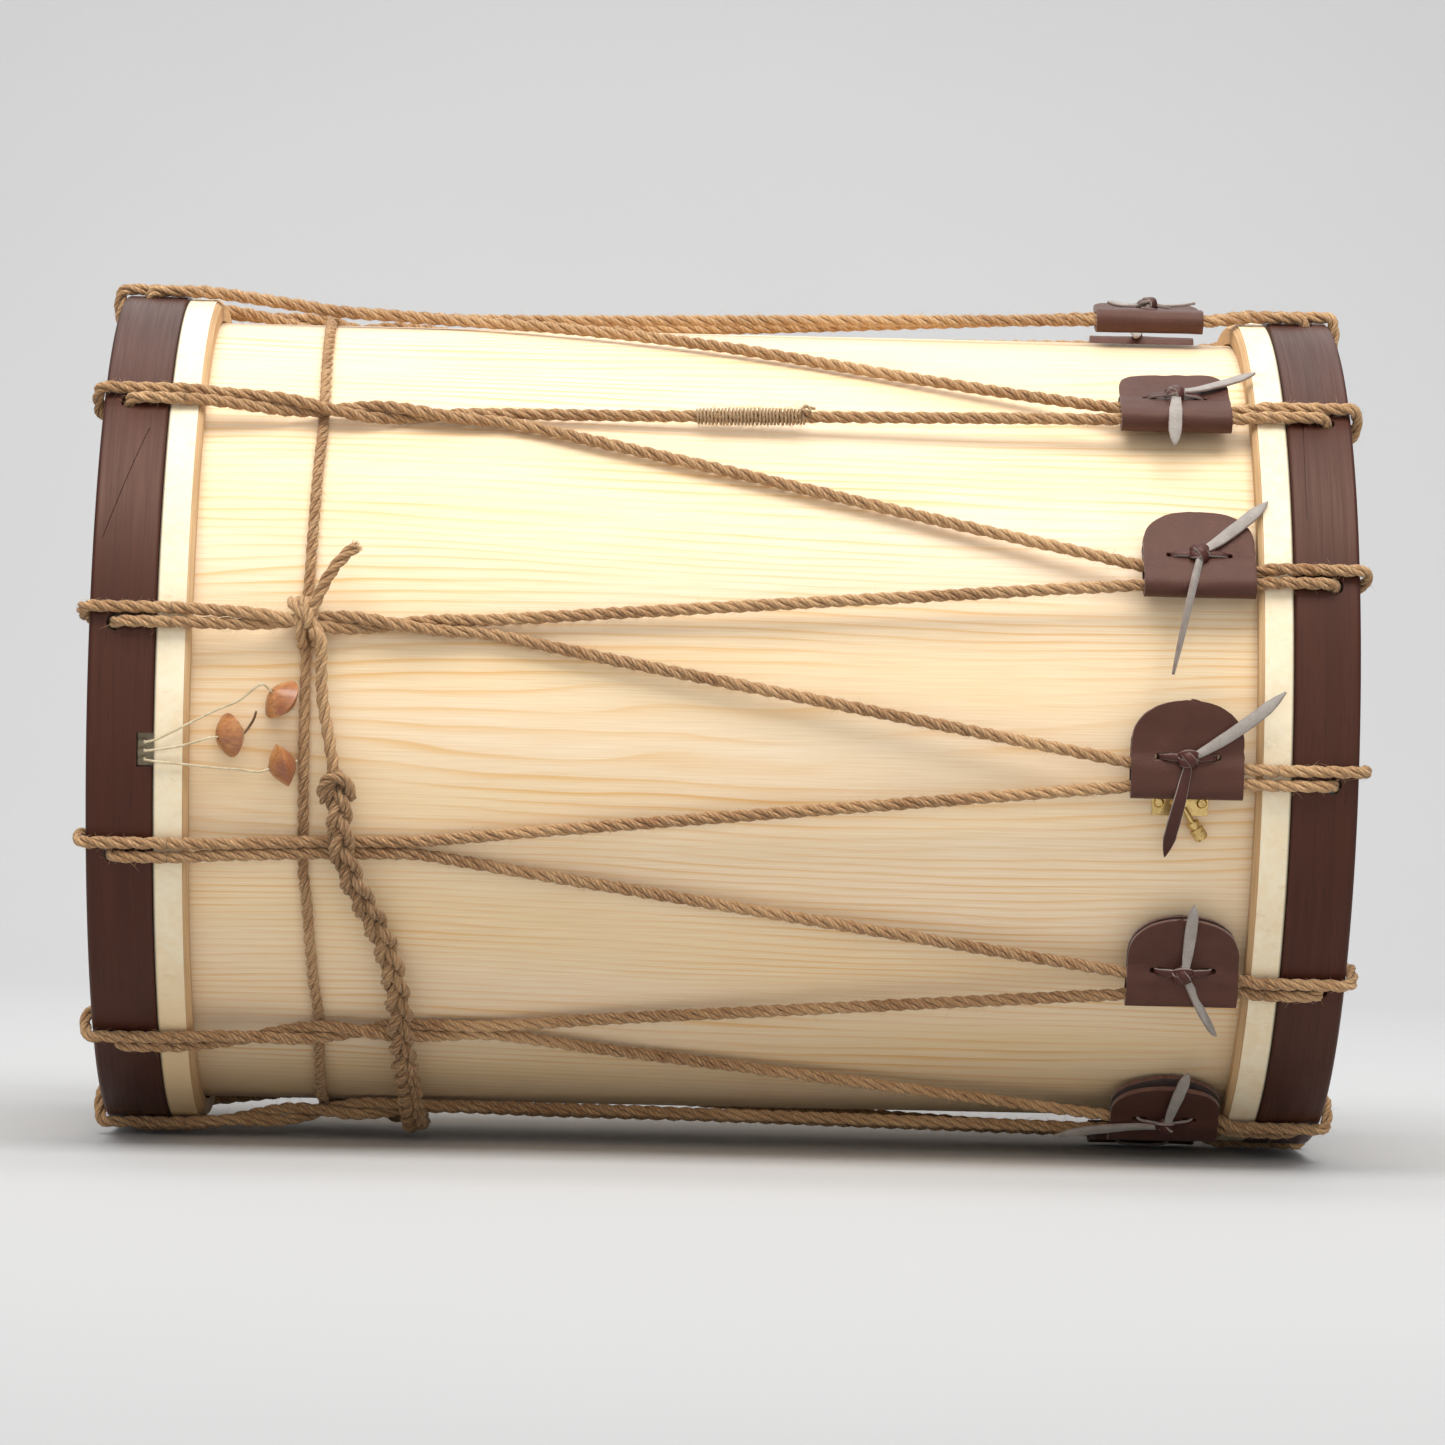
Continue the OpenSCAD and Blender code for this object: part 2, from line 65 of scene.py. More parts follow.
# How far left of a tug two places beside it lie, and how far inside the right loop's end a third lies;
# these places are worked out but nothing uses them
BEND_FROM, BEND_TO, BEND_SHORT = 320, 24, 2
# How far apart two ropes go into a tug and come out, and how far each is from its middle inside
SEP_IN, SEP_OUT, IN_TUG = 11, 6.8, 3.4
GATE_AT = 5.5    # where the snares pass the left counterhoop, in degrees
# The length of a tube that one unit of its texture covers, in metres
UV_LENGTH = 0.02

# One value for each of the twelve lacing points: degrees on the left and the right hoop, where a left pair
# parts, a tug's place, its lean in degrees, how far it is pressed to the shell, and the girdle's place
LEFT_AT = [-82, -46, -12.1, 18.6, 49.8, 78.5, 108, 138, 168, 199, 229, 256]
RIGHT_AT = [-80, -47.1, -20.6, 5.9, 35.8, 69, 97.5, 128, 158, 188.5, 219, 250]
SPLIT_X = [-135, -105, -113, -142, -108, -135, -120, -115, -125, -110, -120, -125]
TUG_X = [206, 211, 219, 214, 217, 218, 216, 214, 212, 215, 213, 211]
TUG_LEAN = [0, 12, 16, 3, 13, 16, 12, 6, 4, 4, 5, 3]
TUG_PRESS = [0, 0, 0, 0, 0, 0, 0.6, 0, 0, 0, 0, 0]
GIRDLE_X = [-193, -191, -194, -194, -188, -189, -191, -192, -193, -192, -191, -193]
TUGS = range(12)
# The drum rests on its lowest rope loops
LOWEST = max(sin(radians(a + s * PAIR_DEG)) for a in LEFT_AT + RIGHT_AT for s in (-1, 1))
AXIS_Z = (OVER_R + 0.1 + ROPE_D / 2) * LOWEST
# A point of the drum's axis, in millimetres
AXIS_AT = np.array([0, 0, AXIS_Z])


# ---- places on the drum

def outward(a):
    a = radians(a)
    return np.array([0, -cos(a), -sin(a)])


def upward(a):
    a = radians(a)
    return np.array([0, -sin(a), cos(a)])


def pt(x, r, a):
    """A place on the drum, in metres."""
    return (np.array([x, 0, AXIS_Z]) + r * outward(a)) * MM


def route(points):
    return np.array([pt(*p) for p in points])


def unit(v):
    return v / np.linalg.norm(v)


class TugFrame:
    """A tug's own axes: X along the drum, Y towards its ears, Z away from the shell, in millimetres."""

    def __init__(self, k):
        a, lean = RIGHT_AT[k], radians(TUG_LEAN[k])
        self.origin = pt(TUG_X[k], TUG_R - TUG_PRESS[k], a)
        self.x = np.array([1.0, 0, 0])
        self.y = cos(lean) * upward(a) - sin(lean) * outward(a)
        self.z = cos(lean) * outward(a) + sin(lean) * upward(a)

    def __call__(self, x, y, z):
        return self.origin + (x * self.x + y * self.y + z * self.z) * MM

    def points(self, table):
        return np.array([self(*p) for p in table])


# ---- mesh building

# Sine waves in one random wobble
WAVES = 4


def spline(points, step):
    """A smooth curve through the points, with points a step apart. Points and step are in metres."""
    p = np.asarray(points, float)
    p = np.vstack([2 * p[0] - p[1], p, 2 * p[-1] - p[-2]])
    t = np.linspace(0, 1, 17)[:-1, None]
    fine = []
    for p0, p1, p2, p3 in zip(p[:-3], p[1:-2], p[2:-1], p[3:]):
        m1, m2 = tangents(p0, p1, p2, p3)
        fine.append((2 * t**3 - 3 * t**2 + 1) * p1 + (t**3 - 2 * t**2 + t) * m1
                    + (3 * t**2 - 2 * t**3) * p2 + (t**3 - t**2) * m2)
    return resample(np.vstack([*fine, p[-2]]), step)


def tangents(p0, p1, p2, p3):
    """Centripetal tangents of one stretch, so that uneven spacing doesn't overshoot."""
    d01, d12, d23 = (max(np.linalg.norm(b - a), 1e-9) ** 0.5 for a, b in ((p0, p1), (p1, p2), (p2, p3)))
    m1 = d12 * ((p1 - p0) / d01 - (p2 - p0) / (d01 + d12) + (p2 - p1) / d12)
    m2 = d12 * ((p2 - p1) / d12 - (p3 - p1) / (d12 + d23) + (p3 - p2) / d23)
    return m1, m2


def lengths(path):
    return np.concatenate([[0], np.cumsum(np.linalg.norm(np.diff(path, axis=0), axis=1))])


def resample(path, step):
    s = lengths(path)
    even = np.linspace(0, s[-1], max(3, int(round(s[-1] / step)) + 1))
    return np.column_stack([np.interp(even, s, path[:, i]) for i in range(3)])


def carried_frames(path, ref):
    """Tangents, and two directions across the path that don't spin round it, the first one from ref."""
    t = np.gradient(path, axis=0)
    t /= np.linalg.norm(t, axis=1)[:, None]
    u = np.empty_like(path)
    last = np.asarray(ref, float)
    for i, ti in enumerate(t):
        last = unit(last - (last @ ti) * ti)
        u[i] = last
    return t, u, np.cross(t, u)


def waves(s, rng, period):
    """Smooth random wobble along lengths s, about -1 to 1."""
    total = np.zeros_like(s)
    for _ in range(WAVES):
        total += np.sin(tau * s / (period * rng.uniform(0.6, 1.9)) + rng.uniform(0, 7))
    return total / WAVES


class Builder:
    """Collects tubes and strips of quads, and makes one mesh object of them."""

    def __init__(self):
        self.verts, self.loops, self.sizes, self.uvs, self.slots = [], [], [], [], []
        self.count = 0

    def rings(self, rings, u=None, slot=0, capped=True, band_slots=None):
        """Joins rings of points, an array of rings x points x 3, into a tube."""
        n, sides = rings.shape[:2]
        u = np.linspace(0, 1, n) if u is None else u
        i, k = np.meshgrid(np.arange(n - 1), np.arange(sides), indexing="ij")
        i, k = i.ravel(), k.ravel()
        j, m = i + 1, (k + 1) % sides
        quads = np.stack([i * sides + k, i * sides + m, j * sides + m, j * sides + k], 1)
        corners = np.stack([
            np.stack([u[i], k / sides], 1), np.stack([u[i], (k + 1) / sides], 1),
            np.stack([u[j], (k + 1) / sides], 1), np.stack([u[j], k / sides], 1)], 1)
        bands = np.array(band_slots)[k] if band_slots else np.full(len(k), slot)
        self._faces(quads.ravel() + self.count, np.full(len(quads), 4), corners.reshape(-1, 2), bands)
        if capped:
            first = np.arange(sides)[::-1] + self.count
            last = np.arange(sides) + (n - 1) * sides + self.count
            for cap, at in ((first, u[0]), (last, u[-1])):
                self._faces(cap, np.array([sides]), np.tile([at, 0.5], (sides, 1)), np.array([slot]))
        self.verts.append(rings.reshape(-1, 3))
        self.count += n * sides

    def _faces(self, loops, sizes, uvs, slots):
        self.loops.append(loops)
        self.sizes.append(sizes)
        self.uvs.append(uvs)
        self.slots.append(slots)

    def build(self, name, materials, smooth=True):
        mesh = bpy.data.meshes.new(name)
        verts, loops, sizes = (np.concatenate(x) for x in (self.verts, self.loops, self.sizes))
        mesh.vertices.add(len(verts))
        mesh.vertices.foreach_set("co", verts.astype(np.float32).ravel())
        mesh.loops.add(len(loops))
        mesh.loops.foreach_set("vertex_index", loops.astype(np.int32))
        mesh.polygons.add(len(sizes))
        mesh.polygons.foreach_set("loop_start", np.concatenate([[0], np.cumsum(sizes)[:-1]]).astype(np.int32))
        mesh.polygons.foreach_set("material_index", np.concatenate(self.slots).astype(np.int32))
        mesh.polygons.foreach_set("use_smooth", np.full(len(sizes), smooth))
        mesh.update(calc_edges=True)
        uvs = np.concatenate(self.uvs).astype(np.float32).ravel()
        mesh.uv_layers.new(name="UVMap").data.foreach_set("uv", uvs)
        for m in materials:
            mesh.materials.append(m)
        return new_object(name, mesh)


def new_object(name, data):
    obj = bpy.data.objects.new(name, data)
    bpy.context.scene.collection.objects.link(obj)
    return obj


def turned(angle, u, v):
    """The direction at an angle from each u towards its v."""
    return np.cos(angle)[:, None] * u + np.sin(angle)[:, None] * v


def circle_rings(path, u, v, radius, sides):
    angle = np.arange(sides) * tau / sides
    radius = np.broadcast_to(radius, len(path))[:, None, None]
    around = np.cos(angle)[None, :, None] * u[:, None] + np.sin(angle)[None, :, None] * v[:, None]
    return path[:, None] + radius * around


def tube(b, path, radius, ref, sides):
    _, u, v = carried_frames(path, ref)
    b.rings(circle_rings(path, u, v, radius, sides), lengths(path) / UV_LENGTH)


# ---- rope

# Shares of the rope's diameter: the length of one turn, and where its strands lie and how thick they are
LAY = 3.9
STRAND_OFFSET = 0.262
STRAND_RADIAL = 0.245
STRAND_ACROSS = 0.262
STRANDS = 3
STRAND_SIDES = 7
# Rings of points in one turn
TURN_STEPS = 14
HAIR_SLOT = 1  # of the rope's materials


def rope(b, path, d, ref, end_ref=None, seed=0, hair=1700, hair_reach=4.2):
    """Laid rope of diameter d, in metres, along the path. Its strands meet those of the rope that goes on."""
    rng = np.random.default_rng(seed)
    path = resample(path, d * LAY / TURN_STEPS)
    s = lengths(path)
    t, u, v = carried_frames(path, ref)
    phase = tau * s / (d * LAY)
    if end_ref is not None:
        target = atan2(end_ref @ v[-1], end_ref @ u[-1])
        third = tau / STRANDS
        phase += ((target - phase[-1] + third / 2) % third - third / 2) * s / s[-1]
    # The lay and the strands are uneven, though the lay is true at both ends
    inside = np.clip(np.sin(pi * s / s[-1]), 0, 1) ** 0.5
    phase += 0.35 * inside * waves(s, rng, 0.05)
    swell = 1 + 0.05 * waves(s, rng, 0.03)
    theta = np.arange(STRAND_SIDES) * tau / STRAND_SIDES
    for j in range(STRANDS):
        f = phase + tau * j / STRANDS + 0.10 * inside * waves(s, rng, 0.02)
        e = turned(f, u, v)
        across = np.cross(t, e)
        centre = path + e * (STRAND_OFFSET * d * (1 + 0.06 * inside * waves(s, rng, 0.015)))[:, None]
        fat = swell * (1 + 0.07 * waves(s, rng, 0.012))
        ring = (np.cos(theta)[None, :, None] * (STRAND_RADIAL * d * fat)[:, None, None] * e[:, None]
                + np.sin(theta)[None, :, None] * (STRAND_ACROSS * d * fat)[:, None, None] * across[:, None])
        b.rings(centre[:, None] + ring, s / UV_LENGTH + 5 * j)
    hairs(b, path, u, v, t, 0.47 * d, rng, int(hair * s[-1]), hair_reach * MM)


HAIR_R = 0.055 * MM


def fibre(b, points, side, other, thickness):
    """A three-sided fibre through the points, which thins to its end."""
    tri = np.array([side, -0.5 * side + 0.87 * other, -0.5 * side - 0.87 * other])
    thick = HAIR_R * np.array(thickness)
    b.rings(points[:, None] + thick[:, None, None] * tri[None], slot=HAIR_SLOT, capped=False)


def hairs(b, path, u, v, t, radius, rng, count, reach):
    """Loose fibres that stand off a rope."""
    at = rng.integers(0, len(path), count)
    angle = rng.uniform(0, tau, count)[:, None]
    e = np.cos(angle) * u[at] + np.sin(angle) * v[at]
    across = np.cross(t[at], e)
    way = rng.choice([-1, 1], count)[:, None] * rng.uniform(0.4, 1, (count, 1)) * t[at]
    way = way + e * rng.uniform(0.05, 0.75, (count, 1)) + across * rng.normal(0, 0.5, (count, 1))
    way /= np.linalg.norm(way, axis=1)[:, None]
    length = reach * rng.uniform(0.25, 1, (count, 1)) ** 1.6
    bend = rng.normal(0, 0.35, (count, 3)) + across * rng.normal(0, 0.3, (count, 1))
    start = path[at] + e * radius
    for begin in range(count):
        pts = np.array([start[begin] + (way[begin] * q + bend[begin] * q * q) * length[begin]
                        for q in (0, 0.35, 0.7, 1.0)])
        # No fibre goes into the shell or the floor
        off = pts - AXIS_AT * MM
        if np.hypot(off[:, 1], off[:, 2]).min() < (SHELL_R + 0.3) * MM or pts[:, 2].min() < 0.0005:
            continue
        side = unit(np.cross(way[begin], e[begin]))
        fibre(b, pts, side, np.cross(way[begin], side), [1.2, 1, 0.8, 0.3])


# ---- materials

class Tree:
    """A node tree with short ways to add nodes."""

    def __init__(self, name, **values):
        self.material = bpy.data.materials.new(name)
        self.material.use_nodes = True
        self.tree = self.material.node_tree
        self.shader = self.tree.nodes["Principled BSDF"]
        for socket, value in values.items():
            self.shader.inputs[socket.replace("_", " ")].default_value = value

    def node(self, kind, values=None, **settings):
        n = self.tree.nodes.new("ShaderNode" + kind)
        for key, value in settings.items():
            setattr(n, key, value)
        for key, value in (values or {}).items():
            self.put(n.inputs[key], value)
        return n

    def put(self, socket, value):
        if isinstance(value, bpy.types.NodeSocket):
            self.tree.links.new(value, socket)
        else:
            socket.default_value = value

    def set(self, socket, value):
        self.put(self.shader.inputs[socket], value)

    def math(self, operation, a, b=0.0, clamp=False):
        n = self.node("Math", {0: a, 1: b}, operation=operation, use_clamp=clamp)
        return n.outputs[0]

    def times(self, a, b, clamp=False):
        return self.math("MULTIPLY", a, b, clamp)

    def plus(self, a, b):
        return self.math("ADD", a, b)

    def noise(self, vector, scale=1.0, detail=3.0, rough=0.5, distortion=0.0):
        values = {"Vector": vector, "Scale": scale, "Detail": detail, "Roughness": rough,
                  "Distortion": distortion}
        return self.node("TexNoise", values).outputs["Fac"]

    def grain(self, vector, scale, *noise, shift=(0, 0, 0)):
        """Noise stretched by a scale for each axis."""
        place = self.node("Mapping", {"Vector": vector, "Scale": scale, "Location": shift}).outputs[0]
        return self.noise(place, 1.0, *noise)

    def rise(self, value, low, high, top=1.0):
        """0 up to low, rising to top at high."""
        return self.ramp(value, [(low, 0.0), (high, top)])

    def ramp(self, value, stops):
        n = self.node("ValToRGB", {"Fac": value})
        for i, (at, colour) in enumerate(stops):
            stop = n.color_ramp.elements[i] if i < 2 else n.color_ramp.elements.new(at)
            stop.position = at
            stop.color = (*colour, 1) if hasattr(colour, "__len__") else (colour, colour, colour, 1)
        return n.outputs[0]

    def mix(self, amount, a, b):
        n = self.node("Mix", data_type="RGBA", clamp_factor=True)
        self.put(n.inputs[0], amount)
        self.put(n.inputs[6], a if not isinstance(a, tuple) else (*a, 1))
        self.put(n.inputs[7], b if not isinstance(b, tuple) else (*b, 1))
        return n.outputs[2]

    def bump(self, height, distance, strength=1.0):
        n = self.node("Bump", {"Height": height, "Distance": distance, "Strength": strength})
        self.set("Normal", n.outputs[0])

    def place(self):
        return self.node("TexCoord").outputs["Object"]

    def drum_place(self, r):
        """Along the axis, round the drum at radius r, and out from the axis, in metres."""
        split = self.node("SeparateXYZ", {0: self.place()}).outputs
        up = self.math("SUBTRACT", split[2], AXIS_Z * MM)
        front = self.times(split[1], -1.0)
        round_it = self.times(self.math("ARCTAN2", up, front), r * MM)
        away = self.math("SQRT", self.plus(self.times(up, up), self.times(front, front)))
        return self.node("CombineXYZ", {0: split[0], 1: round_it, 2: away}).outputs[0]


def shell_wood():
    m = Tree("shell_pine", Roughness=0.46)
    at = m.drum_place(SHELL_R)
    around = m.node("SeparateXYZ", {0: at}).outputs[1]
    slow = m.grain(at, (1.3, 9, 0), 1.0, 0.3)
    drift = m.grain(at, (6, 45, 0), 2.0, 0.5, shift=(4, 2, 0))
    rings = m.plus(m.times(around, 190.0), m.times(slow, 17.0))
    rings = m.plus(rings, m.times(drift, 2.1))
    cut = m.math("FRACT", rings)
    line = m.ramp(cut, [(0.0, 0.15), (0.35, 0.0), (0.62, 0.15), (0.86, 0.85), (0.93, 1.0), (1.0, 0.15)])
    fade = m.ramp(m.grain(at, (5, 38, 0), 2.0, 0.5, shift=(1, 7, 0)), [(0.36, 0.12), (0.66, 1.0)])
    strength = m.times(line, fade)
    fibre = m.grain(at, (22, 1500, 0), 3.0, 0.6)
    tone = m.grain(at, (3, 22, 0), 2.0, 0.5, shift=(9, 1, 0))
    base = m.mix(m.rise(tone, 0.3, 0.7), (0.95, 0.775, 0.565), (0.92, 0.715, 0.445))
    wood = m.mix(m.times(strength, 0.95), base, (0.82, 0.47, 0.15))
    wood = m.mix(m.ramp(fibre, [(0.35, 0.34), (0.62, 0.0)]), wood, (0.72, 0.46, 0.19))
    m.set("Base Color", wood)
    m.set("Roughness", m.ramp(fibre, [(0.3, 0.58), (0.7, 0.42)]))
    height = m.plus(m.times(fibre, 0.5), m.times(line, -0.25))
    m.bump(height, 0.00008, 0.55)
    return m.material


def hoop_wood():
    m = Tree("hoop_stained_wood", Roughness=0.42, Specular_IOR_Level=0.45, Specular_Tint=(1.0, 0.70, 0.56, 1))
    at = m.drum_place(HOOP_R)
    broad = m.grain(at, (130, 5, 130), 3.0, 0.55, 0.4)
    streak = m.grain(at, (900, 16, 900), 4.0, 0.6)
    pores = m.grain(at, (1500, 55, 1500), 2.0, 0.5)
    stain = m.grain(at, (18, 9, 18), 3.0, 0.6)
    wood = m.mix(m.rise(broad, 0.35, 0.68), (0.052, 0.0120, 0.0066), (0.038, 0.0085, 0.0048))
    wood = m.mix(m.rise(streak, 0.46, 0.76, 0.42), wood, (0.024, 0.0065, 0.0045))
    wood = m.mix(m.rise(stain, 0.45, 0.8, 0.3), wood, (0.078, 0.026, 0.017))
    m.set("Base Color", m.mix(m.rise(pores, 0.63, 0.70, 0.6), wood, (0.014, 0.0045, 0.0035)))
    m.set("Roughness", m.ramp(streak, [(0.3, 0.40), (0.7, 0.54)]))
    m.bump(m.plus(streak, m.times(pores, -0.8)), 0.00008, 0.4)
    return m.material


def bare_wood(name, light, dark):
    m = Tree(name, Roughness=0.7)
    at = m.drum_place(HOOP_R)
    streak = m.grain(at, (800, 22, 800), 4.0, 0.6)
    slow = m.grain(at, (60, 10, 60), 3.0, 0.5)
    wood = m.mix(m.rise(slow, 0.35, 0.7), light, dark)
    m.set("Base Color", m.mix(m.rise(streak, 0.45, 0.75, 0.5), wood, tuple(c * 0.6 for c in dark)))
    m.bump(streak, 0.0001, 0.5)
    return m.material


def skin():
    m = Tree("head_skin", Roughness=0.5, Subsurface_Weight=0.12, Subsurface_Scale=0.004,
             Subsurface_Radius=(1.0, 0.6, 0.35))
    at = m.place()
    cloud = m.noise(at, 22, 4.0, 0.6, 0.3)
    speck = m.noise(at, 240, 4.0, 0.65)
    veins = m.grain(at, (40, 90, 90), 5.0, 0.62, 1.2)
    tone = m.mix(m.rise(cloud, 0.32, 0.68), (0.95, 0.81, 0.57), (0.87, 0.65, 0.40))
    tone = m.mix(m.rise(speck, 0.42, 0.66, 0.5), tone, (0.96, 0.86, 0.66))
    tone = m.mix(m.rise(veins, 0.58, 0.74, 0.4), tone, (0.56, 0.36, 0.16))
    x, _, z = m.node("SeparateXYZ", {0: at}).outputs
    # Low on the left the skin is thin, and the tan wood of the hoop shows through
    bare = m.times(m.math("SUBTRACT", 0.105, z), 16.0, clamp=True)
    on_left_hoop = m.times(m.math("LESS_THAN", x, 0.0), m.math("GREATER_THAN", x, -0.27))
    tone = m.mix(m.times(m.times(bare, on_left_hoop), 0.75), tone, (0.82, 0.545, 0.27))
    # Painted shadow: a dark band on the skin along each counterhoop's inner edge stands in for the shade in
    # the gap under the hoop
    edge = m.math("SUBTRACT", m.math("ABSOLUTE", x), (HOOP_IN - 1.5) * MM)
    hoop_gap_shadow = m.times(m.times(edge, 700.0, clamp=True), m.math("LESS_THAN", edge, 0.0018))
    m.set("Base Color", m.mix(hoop_gap_shadow, tone, (0.10, 0.095, 0.07)))
    m.set("Roughness", m.ramp(speck, [(0.3, 0.42), (0.7, 0.62)]))
    m.bump(m.plus(speck, m.times(cloud, 2.0)), 0.00025, 0.5)
    return m.material


def jute(name, dark, mid, light):
    m = Tree(name, Roughness=0.9, Sheen_Weight=0.35, Sheen_Roughness=0.5, Sheen_Tint=(0.95, 0.82, 0.62, 1))
    at = m.place()
    uv = m.node("UVMap").outputs[0]
    along, around, _ = m.node("SeparateXYZ", {0: uv}).outputs
    twist = m.plus(m.times(along, 4.0), m.times(around, -3.0))
    yarn = m.math("SINE", m.times(twist, tau))
    drawn_out = m.node("CombineXYZ", {0: m.times(twist, 6.0), 1: m.times(along, 1.5)}).outputs[0]
    thread = m.noise(drawn_out, 3.0, 3.0, 0.65)
    patch = m.noise(at, 95, 4.0, 0.6)
    broad = m.noise(at, 14, 2.0, 0.5)
    tone = m.mix(m.rise(patch, 0.30, 0.66), mid, light)
    tone = m.mix(m.ramp(thread, [(0.42, 0.85), (0.60, 0.0)]), tone, dark)
    tone = m.mix(m.ramp(yarn, [(0.0, 0.5), (0.45, 0.0)]), tone, dark)
    m.set("Base Color", m.mix(m.rise(broad, 0.42, 0.7, 0.35), tone, light))
    m.bump(m.plus(m.times(yarn, 0.5), thread), 0.00035, 0.9)
    return m.material


def hair_fibre(name, colour, light):
    m = Tree(name, Roughness=0.6)
    m.set("Base Color", m.mix(m.noise(m.place(), 160, 2.0), colour, light))
    return m.material


def leather(name, light, dark, rough, grain, depth):
    m = Tree(name, Roughness=rough, Specular_IOR_Level=0.42, Specular_Tint=(1.0, 0.76, 0.64, 1))
    at = m.place()
    cloud = m.noise(at, 55, 4.0, 0.6)
    cells = m.node("TexVoronoi", {"Vector": at, "Scale": grain}, feature="DISTANCE_TO_EDGE")
    fine = m.noise(at, grain * 1.6, 3.0, 0.6)
    scuff = m.grain(at, (70, 260, 260), 4.0, 0.7)
    tone = m.mix(m.rise(cloud, 0.3, 0.72), dark, light)
    tone = m.mix(m.rise(scuff, 0.60, 0.78, 0.35), tone, tuple(min(1, c * 1.9) for c in light))
    m.set("Base Color", tone)
    m.set("Roughness", m.ramp(fine, [(0.3, rough - 0.06), (0.7, rough + 0.08)]))
    m.bump(m.plus(m.times(cells.outputs["Distance"], 1.5), fine), depth)
    return m.material


def suede(name, light, dark):
    m = Tree(name, Roughness=0.95, Sheen_Weight=0.25)
    at = m.place()
    nap = m.noise(at, 1700, 3.0, 0.7)
    cloud = m.grain(at, (120, 160, 160), 4.0, 0.65)
    tone = m.mix(m.rise(cloud, 0.32, 0.7), dark, light)
    m.set("Base Color", m.mix(m.ramp(nap, [(0.35, 0.35), (0.6, 0.0)]), tone, tuple(c * 0.55 for c in dark)))
    m.bump(nap, 0.0003, 0.8)
    return m.material


def gut_material(name, light, dark):
    m = Tree(name, Roughness=0.32, Transmission_Weight=0.25, IOR=1.45)
    uv = m.node("UVMap").outputs[0]
    along, around, _ = m.node("SeparateXYZ", {0: uv}).outputs
    twist = m.math("SINE", m.times(m.plus(m.times(along, 9.0), around), tau))
    m.set("Base Color", m.mix(m.rise(m.noise(m.place(), 260, 3.0), 0.35, 0.65), dark, light))
    m.bump(twist, 0.0001, 0.6)
    return m.material


def bead_wood():
    m = Tree("bead_wood", Roughness=0.36, Coat_Weight=0.25, Coat_Roughness=0.2)
    at = m.place()
    streak = m.grain(at, (150, 700, 700), 4.0, 0.6, 0.5)
    tone = m.noise(at, 75, 2.0, 0.5)
    wood = m.mix(m.rise(tone, 0.38, 0.62), (0.57, 0.25, 0.085), (0.34, 0.115, 0.045))
    m.set("Base Color", m.mix(m.rise(streak, 0.42, 0.7, 0.6), wood, (0.17, 0.050, 0.020)))
    m.bump(streak, 0.0001, 0.35)
    return m.material


def brass():
    m = Tree("brass_tarnished", Metallic=1.0, Roughness=0.24)
    at = m.place()
    tarnish = m.noise(at, 210, 4.0, 0.65)
    dull = m.rise(tarnish, 0.45, 0.75, 0.7)
    m.set("Base Color", m.mix(dull, (0.74, 0.53, 0.21), (0.36, 0.23, 0.09)))
    m.set("Roughness", m.ramp(tarnish, [(0.3, 0.16), (0.7, 0.42)]))
    m.bump(m.noise(at, 1400, 2.0), 0.00003, 0.4)
    return m.material


shell_m = shell_wood()
hoop_m = hoop_wood()
flesh_m = bare_wood("flesh_hoop_wood", (0.66, 0.43, 0.22), (0.52, 0.31, 0.14))
glue_m = bare_wood("glue_ring_wood", (0.70, 0.50, 0.30), (0.55, 0.36, 0.19))
skin_m = skin()
jute_m = jute("jute", (0.17, 0.068, 0.022), (0.61, 0.312, 0.124), (0.94, 0.60, 0.30))
plait_m = jute("jute_plaited", (0.125, 0.050, 0.017), (0.49, 0.245, 0.096), (0.80, 0.49, 0.235))
twine_m = jute("twine", (0.26, 0.14, 0.055), (0.62, 0.40, 0.20), (0.82, 0.61, 0.37))
hair_m = hair_fibre("jute_fibre", (0.42, 0.225, 0.10), (0.80, 0.56, 0.31))
leather_m = leather("tug_leather", (0.082, 0.030, 0.021), (0.060, 0.021, 0.0145), 0.5, 850, 0.00010)
edge_m = suede("leather_edge", (0.19, 0.085, 0.055), (0.11, 0.045, 0.030))
inside_m = suede("tug_inside", (0.075, 0.033, 0.022), (0.045, 0.018, 0.012))
lace_m = leather("lace_grain", (0.075, 0.022, 0.019), (0.045, 0.013, 0.011), 0.36, 1100, 0.00008)
lace_back_m = suede("lace_suede", (0.42, 0.375, 0.335), (0.31, 0.27, 0.235))
lace_cut_m = suede("lace_cut", (0.36, 0.30, 0.26), (0.24, 0.17, 0.14))
gut_m = gut_material("gut", (0.80, 0.69, 0.47), (0.66, 0.52, 0.31))
gut_end_m = gut_material("gut_end", (0.26, 0.17, 0.09), (0.16, 0.10, 0.05))
bead_m = bead_wood()
brass_m = brass()

# The material of each CAD node that stays
CARRIED = {
    "shell": shell_m, "glue_ring_left": glue_m, "glue_ring_right": glue_m,
    "head_left": skin_m, "head_right": skin_m,
    "flesh_hoop_left": flesh_m, "flesh_hoop_right": flesh_m,
    "counterhoop_left": hoop_m, "counterhoop_right": hoop_m,
    "strainer_plate": brass_m, "strainer_screws": brass_m, "strainer_rod": brass_m, "strainer_knob": brass_m,
    "snare_bead_1": bead_m, "snare_bead_2": bead_m, "snare_bead_3": bead_m,
}
for name, material in CARRIED.items():
    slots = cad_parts[name].data.materials
    if not slots:
        slots.append(material)
    for i in range(len(slots)):
        slots[i] = material


# ---- tension rope

